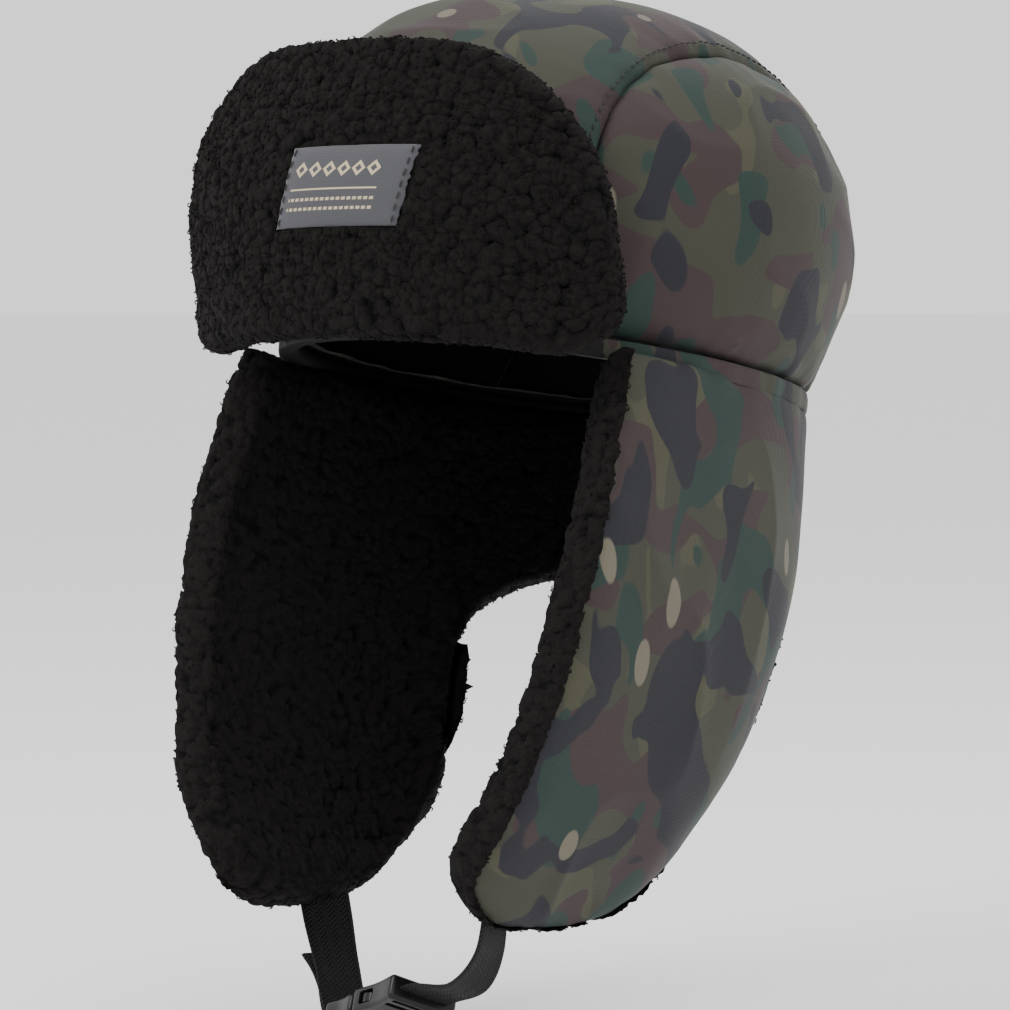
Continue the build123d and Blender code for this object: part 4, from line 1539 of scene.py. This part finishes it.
@dataclass
class BucklePlace:
    """Frame of the side-release buckle: x from catch to socket, z out of its broad face."""

    middle: tuple[float, float, float] = (-6.0, -86.0, -219.0)
    along: tuple[float, float, float] = (38.0, -12.0, 14.0)
    face: tuple[float, float, float] = (0.1, -0.45, -0.88)

    def __post_init__(self) -> None:
        self.x = Vector(self.along).normalized()
        face = Vector(self.face)
        self.z = (face - self.x * face.dot(self.x)).normalized()
        self.y = self.z.cross(self.x)

    def matrix(self) -> Matrix:
        """Turn from the buckle's own frame, in metres, to the hat's."""
        turn = Matrix((self.x, self.y, self.z)).transposed().to_4x4()
        return Matrix.Translation(Vector(self.middle) * MM) @ turn

    def at(self, x: float, y: float = 0.0, z: float = 0.0) -> Array:
        """A place on the buckle, in the hat's frame."""
        return np.array(Vector(self.middle) + self.x * x + self.y * y + self.z * z)


@dataclass
class Strap:
    """Length of webbing along a path, each station a centre and a width direction."""

    name: str
    stations: list
    width: float = 20.0
    thickness: float = 1.5
    steps: int = 150

    def build(self, body: str, node: str, finish: Finish) -> bpy.types.Object:
        """Make the webbing."""
        centres = np.array([s[0] for s in self.stations], float)
        ways = np.array([s[1] for s in self.stations], float)
        ways /= np.linalg.norm(ways, axis=1)[:, None]
        reach = np.r_[0, np.cumsum(np.sqrt((np.diff(centres, axis=0) ** 2).sum(1)))]
        at = np.linspace(0, reach[-1], self.steps + 1)
        line = np.stack([hermite(reach, centres[:, k], at) for k in range(3)], 1)
        way = np.stack([hermite(reach, ways[:, k], at) for k in range(3)], 1)
        along = np.gradient(line, axis=0)
        along /= np.linalg.norm(along, axis=1)[:, None]
        way -= along * (way * along).sum(1)[:, None]
        way /= np.linalg.norm(way, axis=1)[:, None]
        face = np.cross(along, way)
        loop = 48

        def shape(u: Array, v: Array) -> Array:
            index = np.clip(np.rint(u * self.steps).astype(int), 0, self.steps)
            angle = v * 2 * math.pi
            out = np.cos(angle)
            across = np.sign(out) * np.abs(out) ** 0.35 * self.width / 2
            lift = np.sin(angle)
            rise = np.sign(lift) * np.abs(lift) ** 0.5 * self.thickness / 2
            cord = np.where(np.abs(across) > self.width / 2 - 2.0, 1.18, 1.0)
            return line[index] + way[index] * across[:, None] + face[index] * (rise * cord)[:, None]

        strap = cloth_grid(self.name, self.steps, loop, shape)
        uv = strap.data.uv_layers.active or strap.data.uv_layers.new(name="UVMap")
        uv.name = "UVMap"
        flat = np.empty(len(uv.data) * 2, np.float32)
        uv.data.foreach_get("uv", flat)
        flat = flat.reshape(-1, 2).astype(float)
        out = np.cos(flat[:, 1] * 2 * math.pi)
        across = np.sign(out) * np.abs(out) ** 0.35 * self.width / 2
        uv.data.foreach_set("uv", np.stack([flat[:, 0] * reach[-1], across], 1).astype(np.float32).ravel())
        pick(strap)
        bpy.ops.object.mode_set(mode="EDIT")
        bpy.ops.mesh.select_all(action="SELECT")
        bpy.ops.mesh.remove_doubles(threshold=1e-6)
        bpy.ops.mesh.select_all(action="DESELECT")
        bpy.ops.mesh.select_non_manifold()
        bpy.ops.mesh.edge_face_add()
        bpy.ops.mesh.select_all(action="SELECT")
        bpy.ops.mesh.normals_make_consistent(inside=False)
        bpy.ops.object.mode_set(mode="OBJECT")
        finish.dress(strap)
        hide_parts(node)
        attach(strap, body)
        return strap


@dataclass
class Buckle:
    """Side-release buckle: socket with side windows, catch with two sprung prongs."""

    place: BucklePlace
    half_width: float = 13.5
    depth: float = 9.0
    catch_depth: float = 7.0
    rounding: float = 1.6

    def plate(self, name: str, outline: list[tuple[float, float]], height: float, rounding: float) -> bpy.types.Object:
        """Rounded plate from its outline, in the buckle's own frame.

        Args:
            name: the object's name.
            outline: corners in millimetres.
            height: thickness, centred on the middle plane.
            rounding: radius of its edges.
        """
        mesh = bpy.data.meshes.new(name)
        low = [(x * MM, y * MM, -height / 2 * MM) for x, y in outline]
        mesh.from_pydata(low, [], [list(range(len(low)))])
        plate = bpy.data.objects.new(name, mesh)
        bpy.context.scene.collection.objects.link(plate)
        pick(plate)
        bpy.ops.object.mode_set(mode="EDIT")
        bpy.ops.mesh.select_all(action="SELECT")
        bpy.ops.mesh.extrude_region_move(TRANSFORM_OT_translate={"value": (0, 0, height * MM)})
        bpy.ops.mesh.select_all(action="SELECT")
        bpy.ops.mesh.normals_make_consistent(inside=False)
        bpy.ops.object.mode_set(mode="OBJECT")
        if rounding:
            apply_modifier(plate, "BEVEL", width=rounding * MM, segments=5, limit_method="ANGLE")
        return plate

    @staticmethod
    def cut(body: bpy.types.Object, cutter: bpy.types.Object) -> None:
        """Take one shape out of another."""
        apply_modifier(body, "BOOLEAN", operation="DIFFERENCE", object=cutter, solver="EXACT")
        bpy.data.objects.remove(cutter)

    def box(self, x0: float, x1: float, y0: float, y1: float, height: float, rounding: float = 0.4) -> bpy.types.Object:
        """Cutter from x0 to x1 and y0 to y1."""
        return self.plate("cutter", [(x0, y0), (x1, y0), (x1, y1), (x0, y1)], height, rounding)

    def finish(self, piece: bpy.types.Object, body: str, node: str) -> bpy.types.Object:
        """Soften a piece's edges, place it and give it its finish."""
        apply_modifier(piece, "BEVEL", width=0.22 * MM, segments=3, limit_method="ANGLE",
                       angle_limit=math.radians(40))
        pick(piece)
        bpy.ops.object.shade_smooth_by_angle(angle=math.radians(35))
        piece.data.transform(self.place.matrix())
        Finish.ACETAL.dress(piece)
        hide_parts(node)
        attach(piece, body)
        return piece

    def waisted(self, start: float, end: float, waist: float) -> list[tuple[float, float]]:
        """Outline whose sides draw in by waist in the middle."""
        edge = []
        for step in range(13):
            part = step / 12
            x = start + (end - start) * part
            edge.append((x, -self.half_width + waist * math.sin(math.pi * part) ** 2))
        return edge + [(x, -y) for x, y in reversed(edge)]

    def build_socket(self) -> bpy.types.Object:
        """Make the socket."""
        body = self.plate("buckle_socket_body", self.waisted(-4.0, 23.0, 0.9), self.depth, self.rounding)
        self.cut(body, self.box(-5.0, 12.0, -10.6, 10.6, 4.8))
        self.cut(body, self.box(0.6, 8.8, -15.0, 15.0, 4.8, 1.2))
        self.cut(body, self.box(14.5, 17.4, -10.6, 10.6, 12.0))
        self.cut(body, self.box(19.4, 21.4, -10.6, 10.6, 12.0))
        return self.finish(body, "ear_flap_left", "buckle_socket")

    def build_catch(self) -> bpy.types.Object:
        """Make the catch's ladder-lock frame and guide tongue."""
        body = self.plate("buckle_catch_body", self.waisted(-23.0, -5.0, 0.7), self.catch_depth, self.rounding)
        self.cut(body, self.box(-20.6, -17.4, -10.6, 10.6, 12.0))
        self.cut(body, self.box(-14.8, -11.6, -10.6, 10.6, 12.0))
        tongue = self.plate("buckle_tongue", [(-6.0, -1.6), (7.0, -1.6), (8.0, -0.8), (8.0, 0.8), (7.0, 1.6),
                                              (-6.0, 1.6)], 3.2, 0.4)
        apply_modifier(body, "BOOLEAN", operation="UNION", object=tongue, solver="EXACT")
        bpy.data.objects.remove(tongue)
        return self.finish(body, "ear_flap_right", "buckle_catch")

    def build_prong(self, side: int, name: str) -> bpy.types.Object:
        """Make one sprung prong with its thumb barb."""
        middle = side * 8.2
        outline = [(-4.4, -0.7), (-3.4, -1.2), (7.2, -1.2), (8.0, -0.3), (7.0, 2.0), (6.0, 3.6), (4.6, 4.3),
                   (3.0, 4.5), (1.8, 4.2), (1.25, 3.6), (1.2, 1.2), (-3.4, 1.2), (-4.4, 0.7)]
        placed = [(x, middle + side * y) for x, y in outline]
        prong = self.plate(name + "_moulding", placed, 3.6, 0.5)
        return self.finish(prong, name, name)


@dataclass
class ChinStrap:
    """Webbing from each flap and the buckle that joins it."""

    place: BucklePlace = field(default_factory=BucklePlace)

    def build(self) -> list[bpy.types.Object]:
        """Make the straps, their tail and the buckle."""
        across = np.array(self.place.y)
        right_way = (0.35, 0.94, 0.0)
        turned = (0.2, 0.96, -0.1)
        left = Strap("left_webbing", [
            ((49.0, -96.0, -178.0), (-0.25, 0.97, 0.0)),
            ((46.5, -96.5, -192.0), (-0.15, 0.98, -0.05)),
            ((36.0, -95.5, -205.5), (0.1, 0.95, -0.2)),
            (self.place.at(26.4), -across),
            (self.place.at(18.4), -across),
        ])
        right = Strap("right_webbing", [
            ((-53.5, -66.0, -177.0), right_way),
            ((-49.0, -68.0, -191.0), right_way),
            ((-41.5, -72.0, -208.0), turned),
            (self.place.at(-25.6), -across),
            (self.place.at(-17.6), -across),
        ])
        tail = Strap("tail_webbing", [
            ((-48.8, -69.0, -205.0), right_way),
            ((-44.9, -70.9, -209.4), turned),
            (self.place.at(-25.6, 0.0, 2.2), -across),
        ], steps=60)
        buckle = Buckle(self.place)
        return [
            left.build("ear_flap_left", "strap_left", Finish.WEBBING),
            right.build("ear_flap_right", "strap_right", Finish.WEBBING),
            tail.build("strap_tail", "strap_tail", Finish.WEBBING),
            buckle.build_socket(),
            buckle.build_catch(),
            buckle.build_prong(1, "buckle_prong_front"),
            buckle.build_prong(-1, "buckle_prong_rear"),
        ]


# ---------------------------------------------------------------- studio

@dataclass
class Studio:
    """Camera, pale floor and soft lights."""

    azimuth: float = 37.0
    elevation: float = 1.6
    roll: float = -0.7
    distance: float = 1.6085
    lens: float = 158.4
    aim: tuple[float, float, float] = (4443.6, 39.0, 128.0)
    floor_height: float = -0.238

    def build(self) -> None:
        """Make everything round the hat."""
        self.build_camera()
        self.build_floor()
        self.build_lights()

    def build_camera(self) -> None:
        """Make the camera."""
        azimuth, elevation = math.radians(self.azimuth), math.radians(self.elevation)
        back = Vector((math.sin(azimuth) * math.cos(elevation), -math.cos(azimuth) * math.cos(elevation),
                       math.sin(elevation)))
        right = Vector((math.cos(azimuth), math.sin(azimuth), 0.0))
        up = back.cross(right)
        roll = math.radians(self.roll)
        right, up = right * math.cos(roll) + up * math.sin(roll), up * math.cos(roll) - right * math.sin(roll)
        ahead = (-back * self.aim[0] - right * self.aim[1] - up * self.aim[2]).normalized()
        side = ahead.cross(up).normalized()
        top = side.cross(ahead)
        data = bpy.data.cameras.new("camera")
        data.lens = self.lens
        data.sensor_width = 36.0
        data.clip_start, data.clip_end = 0.05, 60.0
        camera = bpy.data.objects.new("camera", data)
        turn = Matrix((side, top, -ahead)).transposed().to_4x4()
        camera.matrix_world = Matrix.Translation(back * self.distance) @ turn
        bpy.context.scene.collection.objects.link(camera)
        bpy.context.scene.camera = camera

    def build_floor(self) -> None:
        """Make the pale floor."""
        clear_selection()
        bpy.ops.mesh.primitive_plane_add(size=30, location=(0, 0, self.floor_height))
        floor = bpy.context.object
        floor.name = "floor"
        material, _, shader = blank_material("pale_floor")
        shader.inputs["Base Color"].default_value = colour("#f4f4f4")
        shader.inputs["Roughness"].default_value = 0.9
        floor.data.materials.append(material)

    @staticmethod
    def area_light(name: str, place: tuple, size: float, power: float) -> None:
        """Add one square soft light aimed at the hat."""
        data = bpy.data.lights.new(name, "AREA")
        data.energy, data.size = power, size
        light = bpy.data.objects.new(name, data)
        light.location = place
        light.rotation_mode = "QUATERNION"
        light.rotation_quaternion = (Vector((0, 0, -0.03)) - Vector(place)).to_track_quat("-Z", "Y")
        bpy.context.scene.collection.objects.link(light)

    def build_lights(self) -> None:
        """Make the world and the lights."""
        world = bpy.data.worlds.new("studio")
        world.use_nodes = True
        background = world.node_tree.nodes["Background"]
        background.inputs["Color"].default_value = colour("#ffffff")
        background.inputs["Strength"].default_value = 1.3
        bpy.context.scene.world = world
        self.area_light("key", (-0.35, -1.3, 1.2), 0.9, 22.0)
        self.area_light("fill", (1.5, -0.6, 0.7), 1.0, 6.0)
        self.area_light("top", (0.2, 0.2, 1.6), 1.2, 10.0)


# ---------------------------------------------------------------- the hat

def stitch_runs(crown: Crown) -> list[bpy.types.Object]:
    """Sew the dark topstitching beside the crown's seams."""
    made = []
    pitch, length, gap = 3.4, 2.5, 3.4
    for seam in ("left", "right", "rear"):
        rough = crown.seam_run(seam, 900)
        total = np.sqrt((np.diff(rough, axis=0) ** 2).sum(1)).sum()
        count = int(total / pitch)
        line = smooth_even(rough, count * 8 + 1)
        normal = line * np.array([1, 1 / crown.depth_ratio ** 2, 0]) + np.array([0, 0, 1]) * np.clip(
            line[:, 2:] - crown.bulge_height, 0, None)
        normal /= np.linalg.norm(normal, axis=1)[:, None]
        ahead = np.gradient(line, axis=0)
        ahead /= np.linalg.norm(ahead, axis=1)[:, None]
        inward = np.cross(ahead, normal)
        centre = np.array([0, -20.0, 120.0])
        inward *= np.sign(((centre - line) * inward).sum(1))[:, None]
        line = crown.puff(line + inward * gap, normal, 0) + normal * 0.25
        starts = line[::8][:count]
        ways = ahead[::8][:count]
        ends = np.stack([starts, starts + ways * length], 1)
        made.append(sew(f"topstitch_{seam}", ends, 0.34, Finish.SEAM_THREAD, "root"))
    return made


def build_hat() -> None:
    """Make every piece of the hat."""
    crown = Crown()
    crown.build_panels()
    LOG.info("panels made")
    crown.build_lining()
    LOG.info("lining made")
    crown.build_band()
    stitch_runs(crown)
    LOG.info("crown made")
    for side in Side:
        half = Curtain(side)
        half.build_cloth()
        half.build_pile()
    LOG.info("curtain made")
    visor = Visor()
    visor.build_pile()
    visor.build_back()
    visor.build_label()
    visor.build_stitches()
    ChinStrap().build()
    LOG.info("visor and strap made")


def main() -> None:
    """Build the studio and the hat."""
    logging.basicConfig(level=logging.INFO, format="%(relativeCreated)d %(message)s")
    Studio().build()
    build_hat()
    bpy.context.view_layer.update()


if __name__ == "__main__":
    main()
